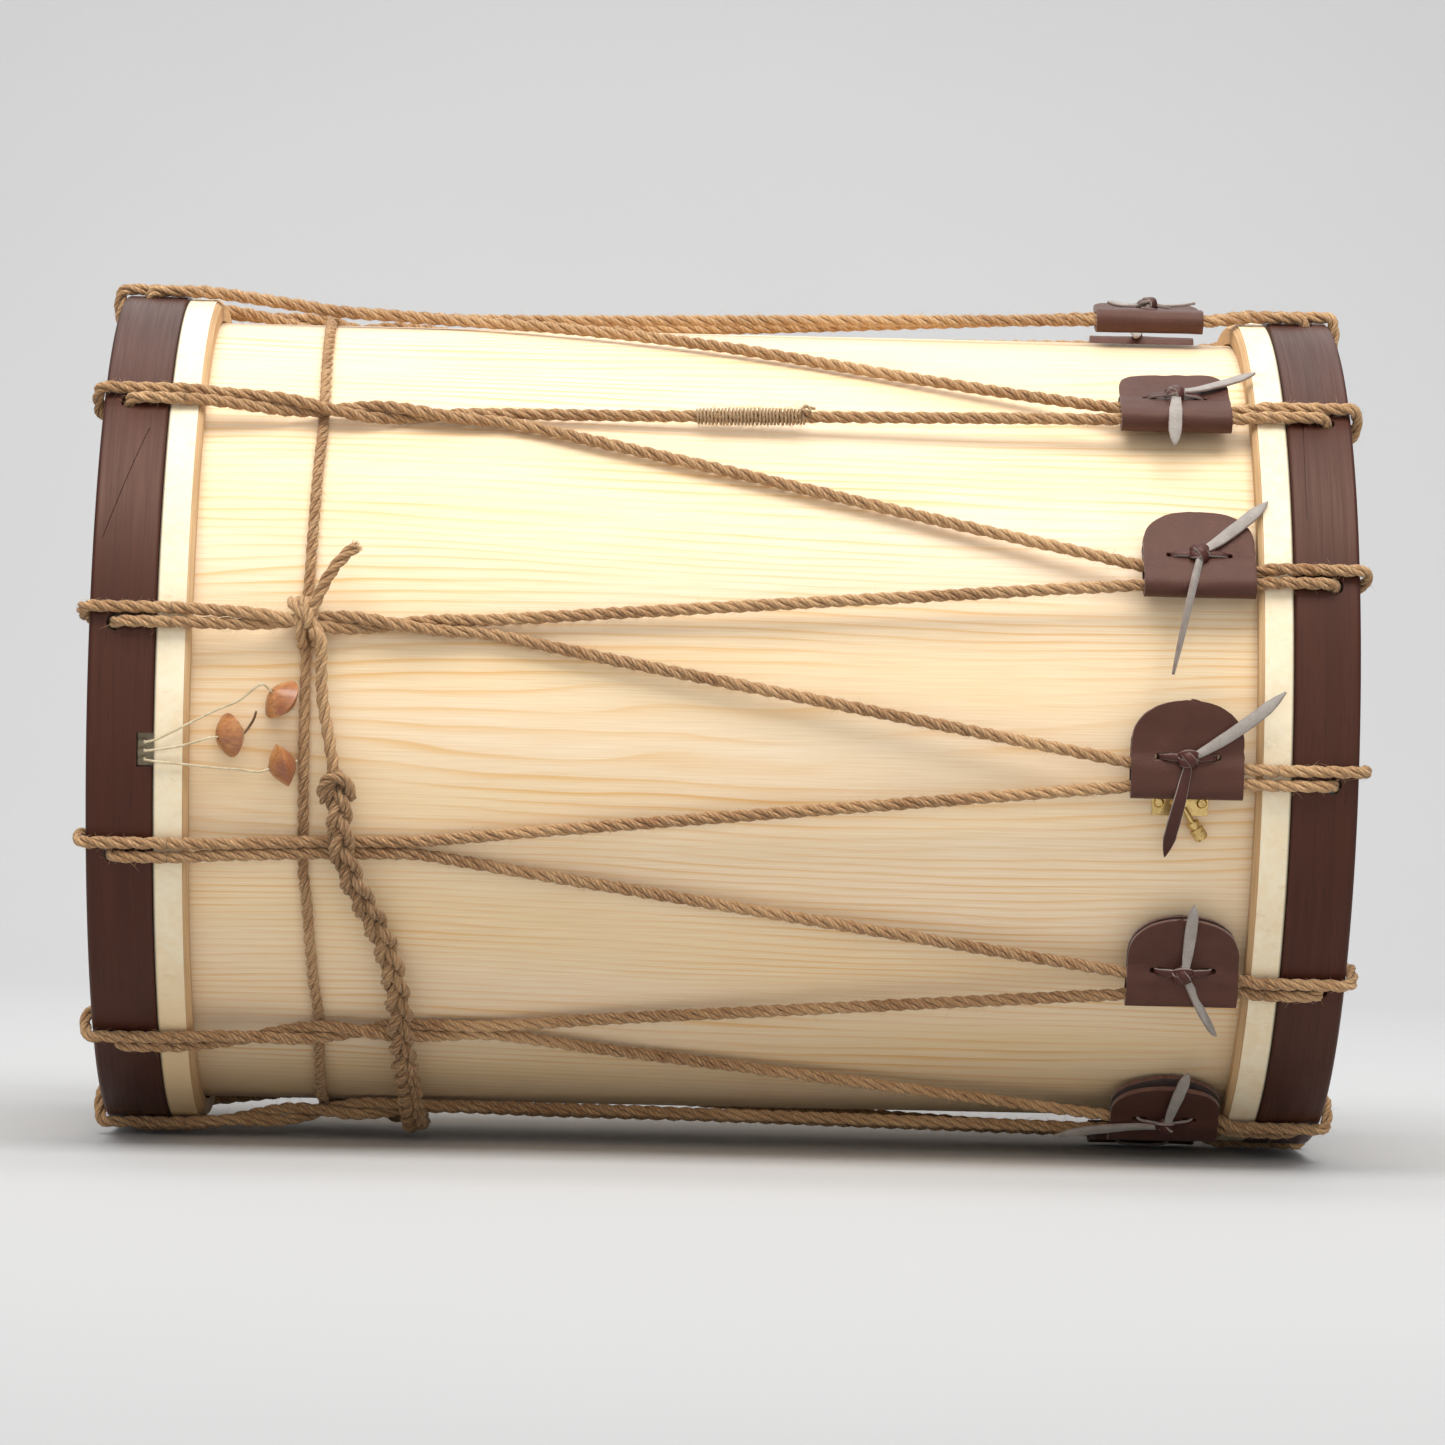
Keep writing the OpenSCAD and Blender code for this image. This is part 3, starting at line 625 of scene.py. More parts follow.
# One loop over a counterhoop: [beyond the hoop's end, radius, degrees from the lacing point].
LOOP = [
    (-38, OVER_R, -0.95), (-20, OVER_R, -0.95), (-6, OVER_R + 0.1, -0.95), (0.6, OVER_R, -0.95),
    (2.6, OVER_R - 1.9, -0.95), (3.2, OVER_R - 5, -0.9), (3.2, OVER_R - 12, -0.8),
    (2.2, OVER_R - 15.4, -0.6), (-1.6, OVER_R - 17.2, -0.2), (-7.4, OVER_R - 17.6, 0.5),
    (-11.2, OVER_R - 15.4, 0.9), (-12, OVER_R - 12, 0.95), (-12, OVER_R - 3, 0.95),
    (-13.3, OVER_R - 0.6, 0.95), (-17, OVER_R + 0.1, 0.95), (-38, OVER_R, 0.95),
]
ROPE_MATERIALS = [jute_m, hair_m]


def rope_loops(side, angles, name):
    b = Builder()
    for j, a in enumerate(angles):
        path = spline([pt(side * (HALF + x), r, a + da) for x, r, da in LOOP], 0.001)
        rope(b, path, ROPE_D * MM, outward(a - PAIR_DEG), outward(a + PAIR_DEG), seed=100 + j + 20 * side)
    obj = b.build(name + "_laid", ROPE_MATERIALS)
    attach(obj, "drum")
    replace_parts(obj, name)


rope_loops(-1, LEFT_AT, "rope_loops_left")
rope_loops(1, RIGHT_AT, "rope_loops_right")


def left_pair(k, low):
    """The lacing point on the left that a tug's low or high strand comes from."""
    return (k + (0 if low else 11)) % 12


def strand_split(k, low):
    j = left_pair(k, low)
    return pt(SPLIT_X[j], SHELL_R + 3.9, LEFT_AT[j] - (1 if low else -1) * PAIR_DEG)


def tug_place(k, dx, up):
    return TugFrame(k)(dx, up, 0)


def beside_tug(k, dx):
    return Vector(pt(TUG_X[k] + dx, TUG_R, RIGHT_AT[k]))


def strand_entry(k, low):
    return tug_place(k, -TUG_W / 2, (-0.5 if low else 0.5) * SEP_IN)


def off_shell(c):
    """Moves a rope's middle away from the shell where it is too near."""
    away = c - np.array([c[0], 0, AXIS_Z * MM])
    least = (SHELL_R + ROPE_D / 2 + 1.6) * MM
    return c + away * max(0.0, least / np.linalg.norm(away) - 1)


def on_strand(k, low, x):
    """A place on a strand's straight stretch, which lies on the shell where the shell is in its way."""
    p, q = strand_split(k, low), strand_entry(k, low)
    return off_shell(p + (q - p) * (x * MM - p[0]) / (q[0] - p[0]))


# How many times the two ropes of each left pair are twisted round each other
PAIR_TURNS = [0, 1, 1, 0, 1, 1, 0, 1, 0, 1, 0, 1]
# Where they start, just inside the left flesh hoop
PAIR_X = -246


def twisted_pair(j, s):
    """One rope of a left pair, the upper one where s is 1, from the flesh hoop to where the pair parts."""
    a, gx, sx = LEFT_AT[j], GIRDLE_X[j], SPLIT_X[j]
    points = []
    for q in np.linspace(0, 1, 12):
        x = PAIR_X + (sx - PAIR_X) * q
        r = np.interp(x, [PAIR_X, gx - 8, gx, (gx + sx) / 2, sx],
                      [205.2, 199.4, 198, SHELL_R + 6, SHELL_R + 4.6])
        turn = tau * PAIR_TURNS[j] * (3 * q * q - 2 * q ** 3)
        gap = s * np.interp(q, [0, 0.12, 0.88, 1], [3.2, 2.8, 2.8, 3.1]) * MM
        points.append(pt(x, r, a) + gap * (cos(turn) * upward(a) + sin(turn) * outward(a)))
    return points


def strand_route(k, low):
    j, s = left_pair(k, low), (1 if low else -1)
    al, ar = LEFT_AT[j] - s * PAIR_DEG, RIGHT_AT[k] + s * PAIR_DEG
    sx, xt = SPLIT_X[j], TUG_X[k]
    left = [
        pt(-JOIN_X, OVER_R, al), *twisted_pair(j, s),
        *[on_strand(k, low, x) for x in (sx + 60, sx + 130, xt - 120, xt - 60)], strand_entry(k, low),
        tug_place(k, -17, -s * 3.9), tug_place(k, -7, -s * IN_TUG), tug_place(k, 2, -s * IN_TUG),
    ]
    right = [pt(JOIN_X, OVER_R, ar), pt(JOIN_X - 3, OVER_R - 0.2, ar),
             tug_place(k, TUG_W / 2, -s * SEP_OUT / 2), tug_place(k, 0, -s * IN_TUG)]
    return left, right, al, ar


for k in TUGS:
    name = f"rope_v_{k + 1:02d}"
    left_b, right_b = Builder(), Builder()
    for low in (True, False):
        left, right, al, ar = strand_route(k, low)
        seed = 300 + 10 * k + low
        rope(left_b, spline(left, 0.001), ROPE_D * MM, outward(al), seed=seed)
        rope(right_b, spline(right, 0.001), ROPE_D * MM, outward(ar), seed=seed + 5)
    left_obj = left_b.build(name + "_left", ROPE_MATERIALS)
    right_obj = right_b.build(name + "_right", ROPE_MATERIALS)
    beside_tug(k, -BEND_FROM)
    beside_tug(k, -BEND_TO)
    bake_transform(left_obj)
    joined = beside_tug(k, JOIN_X - TUG_X[k] - BEND_SHORT)
    beside_tug(k, 0)
    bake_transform(right_obj)
    for obj in (left_obj, right_obj):
        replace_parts(obj, name)


# ---- whipping: twine bound over the splice in the low strand of the second tug

WHIPPED = 1
BIND_FROM, BIND_TO = -15, 36
BIND_R, TWINE_D = 3.3, 1.15


def whipping():
    rng = np.random.default_rng(41)
    start, end = on_strand(WHIPPED, True, BIND_FROM), on_strand(WHIPPED, True, BIND_TO)
    path = resample(np.array([start, end]), 0.0001)
    s = lengths(path)
    t, u, v = carried_frames(path, outward(RIGHT_AT[WHIPPED]))
    turn = tau * s / (1.5 * TWINE_D * MM) + 1.4 * waves(s, rng, 0.008)
    bulge = 1 + 0.13 * np.clip(np.sin(pi * s / s[-1]), 0, 1) ** 0.7 + 0.03 * waves(s, rng, 0.004)
    radius = BIND_R * MM * bulge
    helix = path + radius[:, None] * turned(turn, u, v)
    b = Builder()
    tube(b, helix, TWINE_D / 2 * MM, t[0], 6)
    knot = TugFrame(WHIPPED)
    knot.origin = end + outward(RIGHT_AT[WHIPPED]) * 3.6 * MM
    lumps = [(-3, -2.5, -1), (-1.6, -0.6, 1.3), (0.8, 1.6, 1.5), (2.4, 0.4, 0.6), (1.0, -2.0, 1.0),
             (-1.4, -1.6, 1.9), (-0.2, 1.2, 2.2), (2.6, 2.8, 0.4), (4.6, 3.6, -0.4)]
    tube(b, spline(knot.points(lumps), 0.0004), 0.75 * MM, t[0], 6)
    hairs(b, path, u, v, t, 4.2 * MM, rng, 420, 6 * MM)
    obj = b.build("whipping_twine", [twine_m, hair_m])
    beside_tug(WHIPPED, -BEND_FROM)
    beside_tug(WHIPPED, -BEND_TO)
    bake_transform(obj)
    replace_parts(obj, "splice_whipping")


whipping()


# ---- girdle rope, its free end, and the drag rope

GIRDLE_D = 5.4
GIRDLE_R = SHELL_R + 3.1
# The share of its thickness that is left under a pair
SQUEEZED = 0.53


def squeeze_under_pairs(verts):
    """Presses the rope flat against the shell where a pair crosses it."""
    place = verts / MM - AXIS_AT
    r = np.hypot(place[:, 1], place[:, 2])
    a = np.degrees(np.arctan2(-place[:, 2], -place[:, 1]))
    gap = np.min([np.abs((a - at + 180) % 360 - 180) for at in LEFT_AT], axis=0)
    share = SQUEEZED + (1 - SQUEEZED) * np.clip((gap - 1.9) / 2.3, 0, 1)
    low = SHELL_R + 0.25
    new_r = np.maximum(low, low + (r - low) * share)
    place[:, 1:] *= (new_r / r)[:, None]
    return (place + AXIS_AT) * MM


def girdle_path():
    points = []
    for j in range(12):
        a, x = LEFT_AT[j], GIRDLE_X[j]
        after, x_after = (LEFT_AT[j + 1], GIRDLE_X[j + 1]) if j < 11 else (LEFT_AT[0] + 360, GIRDLE_X[0])
        points += [(x, GIRDLE_R, a + 4 * t) for t in (0, 0.5, 1)]
        points += [(x + (x_after - x) * t, GIRDLE_R, a + (after - a) * t) for t in (0.27, 0.42, 0.58, 0.73)]
        points.append((x_after, GIRDLE_R, after - 3))
    points.append((GIRDLE_X[0], GIRDLE_R, LEFT_AT[0] + 360))
    return spline(route(points), 0.002)


# The hitch on the third pair: two arches over the pair, and one turn across them
HITCH = [
    [(-197.6, 193.6, -15.2), (-197.4, 198.6, -14.7), (-197, 203, -13.5), (-196.8, 203.8, -12.1),
     (-196.4, 203, -10.7), (-196, 198.4, -9.5), (-195.6, 193.6, -9)],
    [(-191.4, 193.6, -15.4), (-191, 198.6, -14.8), (-190.8, 203, -13.5), (-190.8, 203.9, -12.1),
     (-190.4, 203, -10.8), (-189.8, 198.4, -9.6), (-189.4, 193.6, -9.2)],
    [(-201, 199, -14.6), (-199.4, 204.2, -13.9), (-196, 207.2, -12.8), (-191.6, 207.6, -11.6),
     (-188.4, 205.4, -10.4), (-187, 200.4, -9.6)],
    [(-195.6, 205, -14.6), (-193.6, 208.6, -13.4), (-192.4, 209, -12), (-192.6, 206.8, -10.8)],
]
GIRDLE_END = [
    (-192.6, 206.6, -12.5), (-189.5, 209.6, -14), (-187, 210.6, -15.5), (-184, 211.2, -17.2),
    (-180.5, 211.4, -18.7), (-176.5, 211.2, -20.1), (-172, 210.8, -21.2),
]
LEAD = [
    (-191, 207.4, -10.7), (-187, 206, -9.3), (-186.5, 202, -5.5), (-185.5, 199, -1.5), (-183, 198.6, 2.5),
    (-180.5, 199.6, 6.4), (-179.6, 201, 8.2),
]
PLAIT = [
    (-179.5, 200.6, 8), (-178, 202.5, 11), (-176.5, 204.8, 14.6), (-175, 206.2, 18.6), (-170, 205, 22.7),
    (-163, 201.5, 27.5), (-156, 199.6, 32.7), (-151.5, 200.2, 38.4), (-149, 202.6, 44.1),
    (-148, 204.4, 49.8), (-147, 203.4, 55), (-146, 201, 60.6), (-145, 201.2, 67.2), (-144.5, 202.4, 73.3),
    (-144, 203.1, 78.5), (-143.5, 201.4, 84.3), (-145, 199.4, 89.7), (-151, 198.8, 94), (-160, 198.4, 96.9),
    (-170, 198, 99.4), (-178, 197.8, 101), (-180.5, 198, 101.6), (-184, 199.4, 102.1), (-188, 200.6, 102.9),
]
PLAIT_D, PLAIT_ROPE_D = 13, 5.4
# The length of one turn of the plait, and how far its strands swing across it and out
PLAIT_TURN, PLAIT_ACROSS, PLAIT_OUT = 44, 3.9, 2.3


def girdle():
    b = Builder()
    rope(b, girdle_path(), GIRDLE_D * MM, (1, 0, 0), (1, 0, 0), seed=51)
    b.verts = [squeeze_under_pairs(v) for v in b.verts]
    for i, points in enumerate(HITCH):
        rope(b, spline(route(points), 0.001), 5.6 * MM, (1, 0, 0), seed=52 + i, hair=1600)
    obj = b.build("girdle_rope_laid", ROPE_MATERIALS)
    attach(obj, "drum")
    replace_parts(obj, "girdle_rope")


def free_rope(name, points, far_end, seed):
    b = Builder()
    path = spline(route(points), 0.001)
    rope(b, path, ROPE_D * MM, (1, 0, 0), seed=seed, hair=1100, hair_reach=2.4)
    if far_end == "bare":
        frayed_end(b, path, seed)
    obj = b.build(name, ROPE_MATERIALS)
    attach(obj, "drum")
    return obj


def frayed_end(b, path, seed):
    """A brush of fibres that stands out of a cut end."""
    rng = np.random.default_rng(seed)
    t, u, v = carried_frames(path, (1, 0, 0))
    for _ in range(90):
        angle, out = rng.uniform(0, tau), 2.2 * MM * rng.uniform(0, 1) ** 0.5
        e = cos(angle) * u[-1] + sin(angle) * v[-1]
        start = path[-1] + e * out - t[-1] * MM
        way = t[-1] + e * rng.uniform(0, 0.5) + rng.normal(0, 0.12, 3)
        pts = np.array([start + way * q * 0.0032 for q in (0, 0.5, 1)])
        fibre(b, pts, u[-1], v[-1], [2.2, 1.8, 0.6])


def plait():
    """Three strands of rope, plaited flat. The first turn is drawn up into a hood."""
    b = Builder()
    path = spline(route(PLAIT), 0.001)
    s = lengths(path)
    t, u, v = carried_frames(path, outward(PLAIT[0][2]))
    rng = np.random.default_rng(61)
    # It is flatter where it lies between the shell and the floor
    angle = np.degrees(np.arctan2(AXIS_Z * MM - path[:, 2], -path[:, 1]))
    lift = np.interp(angle, [73, 80.6, 92.5, 97.6], [1, 0.72, 0.72, 1])
    end_in = np.clip(np.minimum(s / 0.008, (s[-1] - s) / 0.012), 0, 1)
    for i in range(3):
        phase = tau * s / (PLAIT_TURN * MM) + tau * i / 3 + 0.25 * waves(s, rng, 0.06)
        across = PLAIT_ACROSS * (0.25 + 0.75 * end_in) * np.sin(phase) * MM
        deep = PLAIT_OUT * (0.3 + 0.7 * end_in) * lift * np.sin(2 * phase) * MM
        rope(b, path + across[:, None] * v + deep[:, None] * u, PLAIT_ROPE_D * MM, outward(20), seed=62 + i,
             hair=1500, hair_reach=3.2)
    hood = [(-6.2, 13, -1.5), (-6.4, 9, 1), (-5.2, 5, 3.2), (-2, 2.6, 4.6), (2, 2.4, 4.6),
            (5.2, 4.6, 3.4), (6.6, 8.6, 1.4), (6, 12.6, -1.5)]
    hood = [path[0] + (x * v[0] + along * t[0] + out * u[0]) * MM for x, along, out in hood]
    rope(b, spline(hood, 0.001), PLAIT_ROPE_D * MM, outward(9), seed=66, hair=1500, hair_reach=3.0)
    obj = b.build("drag_rope_plait", [plait_m, hair_m])
    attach(obj, "drum")
    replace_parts(obj, "drag_rope")


girdle()
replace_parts(free_rope("girdle_tail_laid", GIRDLE_END, "bare", 55), "girdle_tail")
free_rope("drag_rope_lead", LEAD, "object", 56)
plait()


# ---- snares: gut over the left head, its free ends with the beads, and the strainer's knob

GUT_R = 0.6
GUT_SIDES = [4, 0, -4]
GUT_ROUND = 10
# The share of the bare tail that is clear, before its dark end
CLEAR_PART = 0.78
HEAD_X = -(HALF - 19) - 0.8 - GUT_R - 0.1
BEADS = [
    (-228, SHELL_R + 8.8, 3.4, 7, 36), (-204.5, SHELL_R + 9, -1.5, -38, 34),
    (-203.5, SHELL_R + 10.3, 7.2, 16, 14),
]


def bead_point(i, d):
    """A place on the bore of bead i, d millimetres beyond its middle."""
    x, r, a, turn, tilt = BEADS[i]
    turn, tilt = radians(turn), radians(tilt)
    flat = cos(tilt) * (cos(turn) * np.array([1, 0, 0]) + sin(turn) * upward(a))
    return pt(x, r, a) + d * MM * (flat - sin(tilt) * outward(a))


# Half of one gut, from inside the drum's rim over the edge of the head and out: [along the axis, radius]
GUT_HALF = [
    (HEAD_X, 95), (HEAD_X, 184), (HEAD_X + 0.2, 188.8), (HEAD_X + 1.4, SHELL_R + 1.5),
    (HEAD_X + 3, SHELL_R + 1.75), (-HOOP_IN - 5.6, SHELL_R + 1.75), (-HOOP_IN - 4, SHELL_R + 3),
    (-HOOP_IN - 3.7, HOOP_R),
]


def gut_line(y):
    """A gut across the whole head, y above the middle one."""
    gate = [pt(x, r, GATE_AT) + y * MM * upward(GATE_AT) for x, r in GUT_HALF]
    far = [pt(x, r, GATE_AT + 180) - y * MM * upward(GATE_AT + 180) for x, r in GUT_HALF]
    return far[::-1] + gate


def gut():
    b = Builder()
    for y in GUT_SIDES:
        tube(b, spline(gut_line(y), 0.0008), GUT_R * MM, upward(GATE_AT), GUT_ROUND)
    obj = b.build("snare_gut_strands", [gut_m])
    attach(obj, "drum")
    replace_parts(obj, "snare_gut")


GUT_TAILS = [
    [pt(-267, 204.2, 4.5), pt(-262, 204.6, 4.1), pt(-250, 204.4, 2.4), pt(-235, 203.4, 0.2),
     pt(-224, 203, -1.2), *[bead_point(1, d) for d in (-13, -8.5, 0, 8.5)]],
    [pt(-267, 204.2, 5.6), pt(-262, 204.6, 5.4), pt(-250, 205, 4.8),
     *[bead_point(0, d) for d in (-12, -8, 0, 7.5)],
     pt(-218.6, 194.8, 1.9), pt(-217, 197.4, 1.1), pt(-216, 200.4, 0.2)],
    [pt(-267, 204.2, 6.7), pt(-262, 204.6, 6.9), pt(-250, 203.6, 7.2), pt(-236, 202.6, 7.6),
     pt(-223, 202.6, 7.8), *[bead_point(2, d) for d in (-11, -8, 0, 7.5)]],
]


def gut_tail(i):
    b = Builder()
    path = spline(GUT_TAILS[i], 0.0008)
    bare = i == 1
    s = lengths(path)
    _, u, v = carried_frames(path, outward(GATE_AT))
    rings = circle_rings(path, u, v, GUT_R * MM, GUT_ROUND)
    if bare:
        cut = int(len(path) * CLEAR_PART)
        b.rings(rings[:cut], s[:cut] / UV_LENGTH)
        b.rings(rings[cut - 1:], s[cut - 1:] / UV_LENGTH, slot=1)
    else:
        b.rings(rings, s / UV_LENGTH)
    obj = b.build(f"snare_tail_{i + 1}", [gut_m, gut_end_m])
    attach(obj, "drum")
    return obj


gut()
for i in range(3):
    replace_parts(gut_tail(i), "snare_tails")

STRAINER_AT = (212.5, 10.1)
STRAINER_TURN = radians(-57)
ROD_Z = 4.1
TEETH = 24
KNOB_SIDES = 4 * TEETH
# The knob from the lug outward: [along the screw, radius, depth of the knurling]
KNOB = [
    (10, 1.6, 0), (10, 2.9, 0), (10.3, 3.1, 0.08), (11.9, 3.1, 0.08), (12.2, 2.9, 0), (12.4, 2.3, 0),
    (13.4, 2.3, 0), (13.6, 3.0, 0), (13.9, 3.3, 0.16), (15.1, 3.3, 0.16), (15.3, 3.05, 0), (15.7, 3.05, 0),
    (15.9, 3.3, 0.16), (18.4, 3.3, 0.16), (18.7, 3.1, 0), (19.6, 2.5, 0), (19.6, 1.6, 0),
]


def knob():
    at = pt(STRAINER_AT[0], SHELL_R + ROD_Z, STRAINER_AT[1])
    way = cos(STRAINER_TURN) * np.array([1, 0, 0]) + sin(STRAINER_TURN) * upward(STRAINER_AT[1])
    u = outward(STRAINER_AT[1])
    v = np.cross(way, u)
    angle = np.arange(KNOB_SIDES) * tau / KNOB_SIDES
    tooth = np.cos(TEETH * angle)
    rings = []
    for d, r, depth in KNOB:
        radius = (r - depth * (0.5 - 0.5 * tooth))[:, None] * MM
        rings.append(at + d * MM * way + radius * turned(angle, u, v))
    b = Builder()
    b.rings(np.array(rings))
    obj = b.build("strainer_knob_knurled", [brass_m], smooth=False)
    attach(obj, "strainer_screw")
    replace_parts(obj, "strainer_knob")


knob()


# ---- tugs: folded leather with two ears, laced together by a thong

# Height of each tug's ears above the rope, and how square they are (2 is an ellipse)
EARS = [(31, 3.4), (31, 4.0), (35, 2.4), (35, 2.2), (35, 2.2), (35, 2.1),
        (35, 2.3), (35, 2.2), (34, 2.6), (35, 2.2), (35, 2.4), (34, 3.0)]
EAR_ROUND = 20
COLUMNS = 26
# Half the straight part of a slot, and its end radius
SLOT_HALF, SLOT_R = 2.2, 1.3


def half_profile(height, square, flare):
    """Half the leather's mid-line, from the fold's bottom up one ear: rows of height, distance out, width."""
    base = height - EAR_ROUND
    line = [(0, -9.9, 0), (0, -9.3, 2.25), (0, -7.65, 3.9), (0, -5.4, 4.5), (0, 0, 4.5), (0, 4, 4.4),
            (0, 7.5, 3.4), (0, 10, 2.8), (0, max(base, 11), 2.8)]
    low = spline([(0, -9.3, -2.25)] + line, 1.1)
    low = low[np.argmin(np.hypot(low[:, 1] + 9.9, low[:, 2])):]
    rows = [(y, z, TUG_W / 2) for _, y, z in low]
    for q in np.linspace(0, pi / 2, 18)[1:]:
        y = base + EAR_ROUND * sin(q) ** (2 / square)
        w = max(1.0, TUG_W / 2 * cos(q) ** (2 / square))
        rows.append((y, 2.8 + flare * ((y - base) / EAR_ROUND) ** 1.5, w))
    return rows


def tug_leather(k):
    place = TugFrame(k)
    rng = np.random.default_rng(700 + k)
    height, square = EARS[k]
    outer = half_profile(height, square, rng.uniform(0.5, 1.5))
    inner_ear = half_profile(height - rng.uniform(0.3, 1.2), square, rng.uniform(0, 0.6))
    inner = [(y, -z, w) for y, z, w in inner_ear]
    rows = np.array(inner[:0:-1] + outer)
    grid = []
    for y, z, w in rows:
        for c in np.linspace(-1, 1, COLUMNS):
            x = c * w
            wave = noise.noise((x * 0.045 + 10 * k, y * 0.05, z * 0.2)) * (0.7 + 0.03 * max(0, y))
            dent = noise.noise((x * 0.16 + 5 * k, y * 0.16, 7 + z * 0.1)) * 0.25
            calm = min(1, abs(z) / 4.5) if y < 5 else 1
            edge = 0.35 * noise.noise((x * 0.3, y * 0.3, 3 + k)) * (abs(c) > 0.98)
            grid.append(place(x + edge, y, z + (wave + dent) * calm * (1 if z > 0 else 0.6)))
    faces = [(j * COLUMNS + i, j * COLUMNS + i + 1, (j + 1) * COLUMNS + i + 1, (j + 1) * COLUMNS + i)
             for j in range(len(rows) - 1) for i in range(COLUMNS - 1)]
    mesh = bpy.data.meshes.new(f"tug_{k + 1:02d}")
    mesh.from_pydata([tuple(p) for p in grid], [], faces)
    mesh.polygons.foreach_set("use_smooth", [True] * len(faces))
    for m in (leather_m, inside_m, edge_m):
        mesh.materials.append(m)
    obj = new_object(f"tug_leather_{k + 1:02d}", mesh)
    solid = obj.modifiers.new("thickness", "SOLIDIFY")
    solid.thickness, solid.offset = LEATHER * MM, 0
    solid.material_offset, solid.material_offset_rim = 1, 2
    bevel = obj.modifiers.new("rounding", "BEVEL")
    bevel.width, bevel.segments = 0.5 * MM, 2
    bevel.limit_method, bevel.angle_limit = "ANGLE", radians(55)
    cutter = slot_cutter(place)
    cut = obj.modifiers.new("slots", "BOOLEAN")
    cut.operation, cut.object, cut.solver = "DIFFERENCE", cutter, "EXACT"
    apply_modifiers(obj)
    bpy.data.objects.remove(cutter)
    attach(obj, f"tug_body_{k + 1:02d}")
    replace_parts(obj, f"tug_{k + 1:02d}")


def slot_cutter(place):
    """Two capsule-shaped prisms that go through both ears."""
    b = Builder()
    for dx in (-HOLE_DX, HOLE_DX):
        ends = [(dx + s * SLOT_HALF + SLOT_R * cos(a), THONG_Y - 0.2 + SLOT_R * sin(a))
                for s, start in ((1, -90), (-1, 90)) for a in np.radians(np.linspace(start, start + 180, 7))]
        b.rings(np.array([[place(x, y, z) for x, y in ends] for z in (-12, 12)]))
    return b.build("slot_cutter", [leather_m], smooth=False)


def apply_modifiers(obj):
    graph = bpy.context.evaluated_depsgraph_get()
    mesh = bpy.data.meshes.new_from_object(obj.evaluated_get(graph))
    obj.modifiers.clear()
    old, obj.data = obj.data, mesh
    bpy.data.meshes.remove(old)


# A lace's outline, in shares of its width and thickness, and the material of each of its sides
SECTION = [(0.5, 0.3), (0.45, 0.5), (-0.45, 0.5), (-0.5, 0.3),
           (-0.5, -0.3), (-0.45, -0.5), (0.45, -0.5), (0.5, -0.3)]
FLESH, GRAIN, CUT = 1, 0, 2
GRAIN_OUT = [CUT, GRAIN, CUT, CUT, CUT, FLESH, CUT, CUT]
FLESH_OUT = [CUT, FLESH, CUT, CUT, CUT, GRAIN, CUT, CUT]


def ribbon(b, path, side, widths, thick, bands, roll=None):
    """A flat lace along the path. side is the direction across it, and roll turns it, in radians."""
    t = np.gradient(path, axis=0)
    t /= np.linalg.norm(t, axis=1)[:, None]
    side = np.broadcast_to(side, path.shape)
    side = side - np.sum(side * t, axis=1)[:, None] * t
    side = side / np.linalg.norm(side, axis=1)[:, None]
    face = np.cross(side, t)
    if roll is not None:
        roll = np.asarray(roll)[:, None]
        side, face = np.cos(roll) * side + np.sin(roll) * face, np.cos(roll) * face - np.sin(roll) * side
    rings = np.stack([path + (cu * widths)[:, None] * side + cv * thick * face for cu, cv in SECTION], 1)
    b.rings(rings, lengths(path) / UV_LENGTH, slot=CUT, band_slots=bands)


# Thickness of the lace along its length and in the knot
LACE_T, KNOT_T = 1.3, 1.6
# Tails of each thong: [direction from +X towards the ears, bend along it, length, width, bands, roll at
# the knot, roll at the tip], all angles in degrees
TAILS = [
    [(170, 6, 22, 5.0, FLESH_OUT, 0, 20), (12, 8, 26, 5.0, FLESH_OUT, 0, 10)],
    [(28, 3, 48, 5.8, FLESH_OUT, 8, 0), (-96, 4, 37, 6.4, FLESH_OUT, 0, 6)],
    [(42, 4, 48, 6.2, FLESH_OUT, 0, 5), (-103, -2, 58, 5.6, FLESH_OUT, 60, 82)],
    [(28, 18, 58, 6.0, FLESH_OUT, 0, 30), (-102, 3, 51, 6.2, GRAIN_OUT, 10, 0)],
    [(84, 4, 39, 5.6, FLESH_OUT, 5, -10), (-66, 4, 43, 5.4, FLESH_OUT, 50, 68)],
    [(80, 3, 50, 5.6, FLESH_OUT, 0, 20), (188, 6, 58, 5.6, FLESH_OUT, 0, -20)],
    [],
    [(40, 5, 46, 5.6, FLESH_OUT, 0, 10), (-95, 5, 46, 5.6, FLESH_OUT, 0, 20)],
    [(150, -8, 44, 5.6, GRAIN_OUT, 0, 10), (-70, 6, 46, 5.6, FLESH_OUT, 0, 40)],
    [(35, 8, 46, 5.6, FLESH_OUT, 0, 10), (-110, 4, 48, 5.4, FLESH_OUT, 20, 60)],
    [(60, 6, 42, 5.6, FLESH_OUT, 0, 15), (-85, -5, 46, 5.6, GRAIN_OUT, 0, 10)],
    [(20, 10, 46, 5.6, FLESH_OUT, 0, 10), (-100, 4, 45, 5.6, FLESH_OUT, 0, 30)],
]
KNOT_AT = (0.6, 8.3)
# A tail's width along its length, in shares of both
TAPER = ([0, 0.08, 0.25, 0.5, 0.78, 0.9, 1], [0.42, 0.62, 0.86, 1, 0.97, 0.66, 0.10])


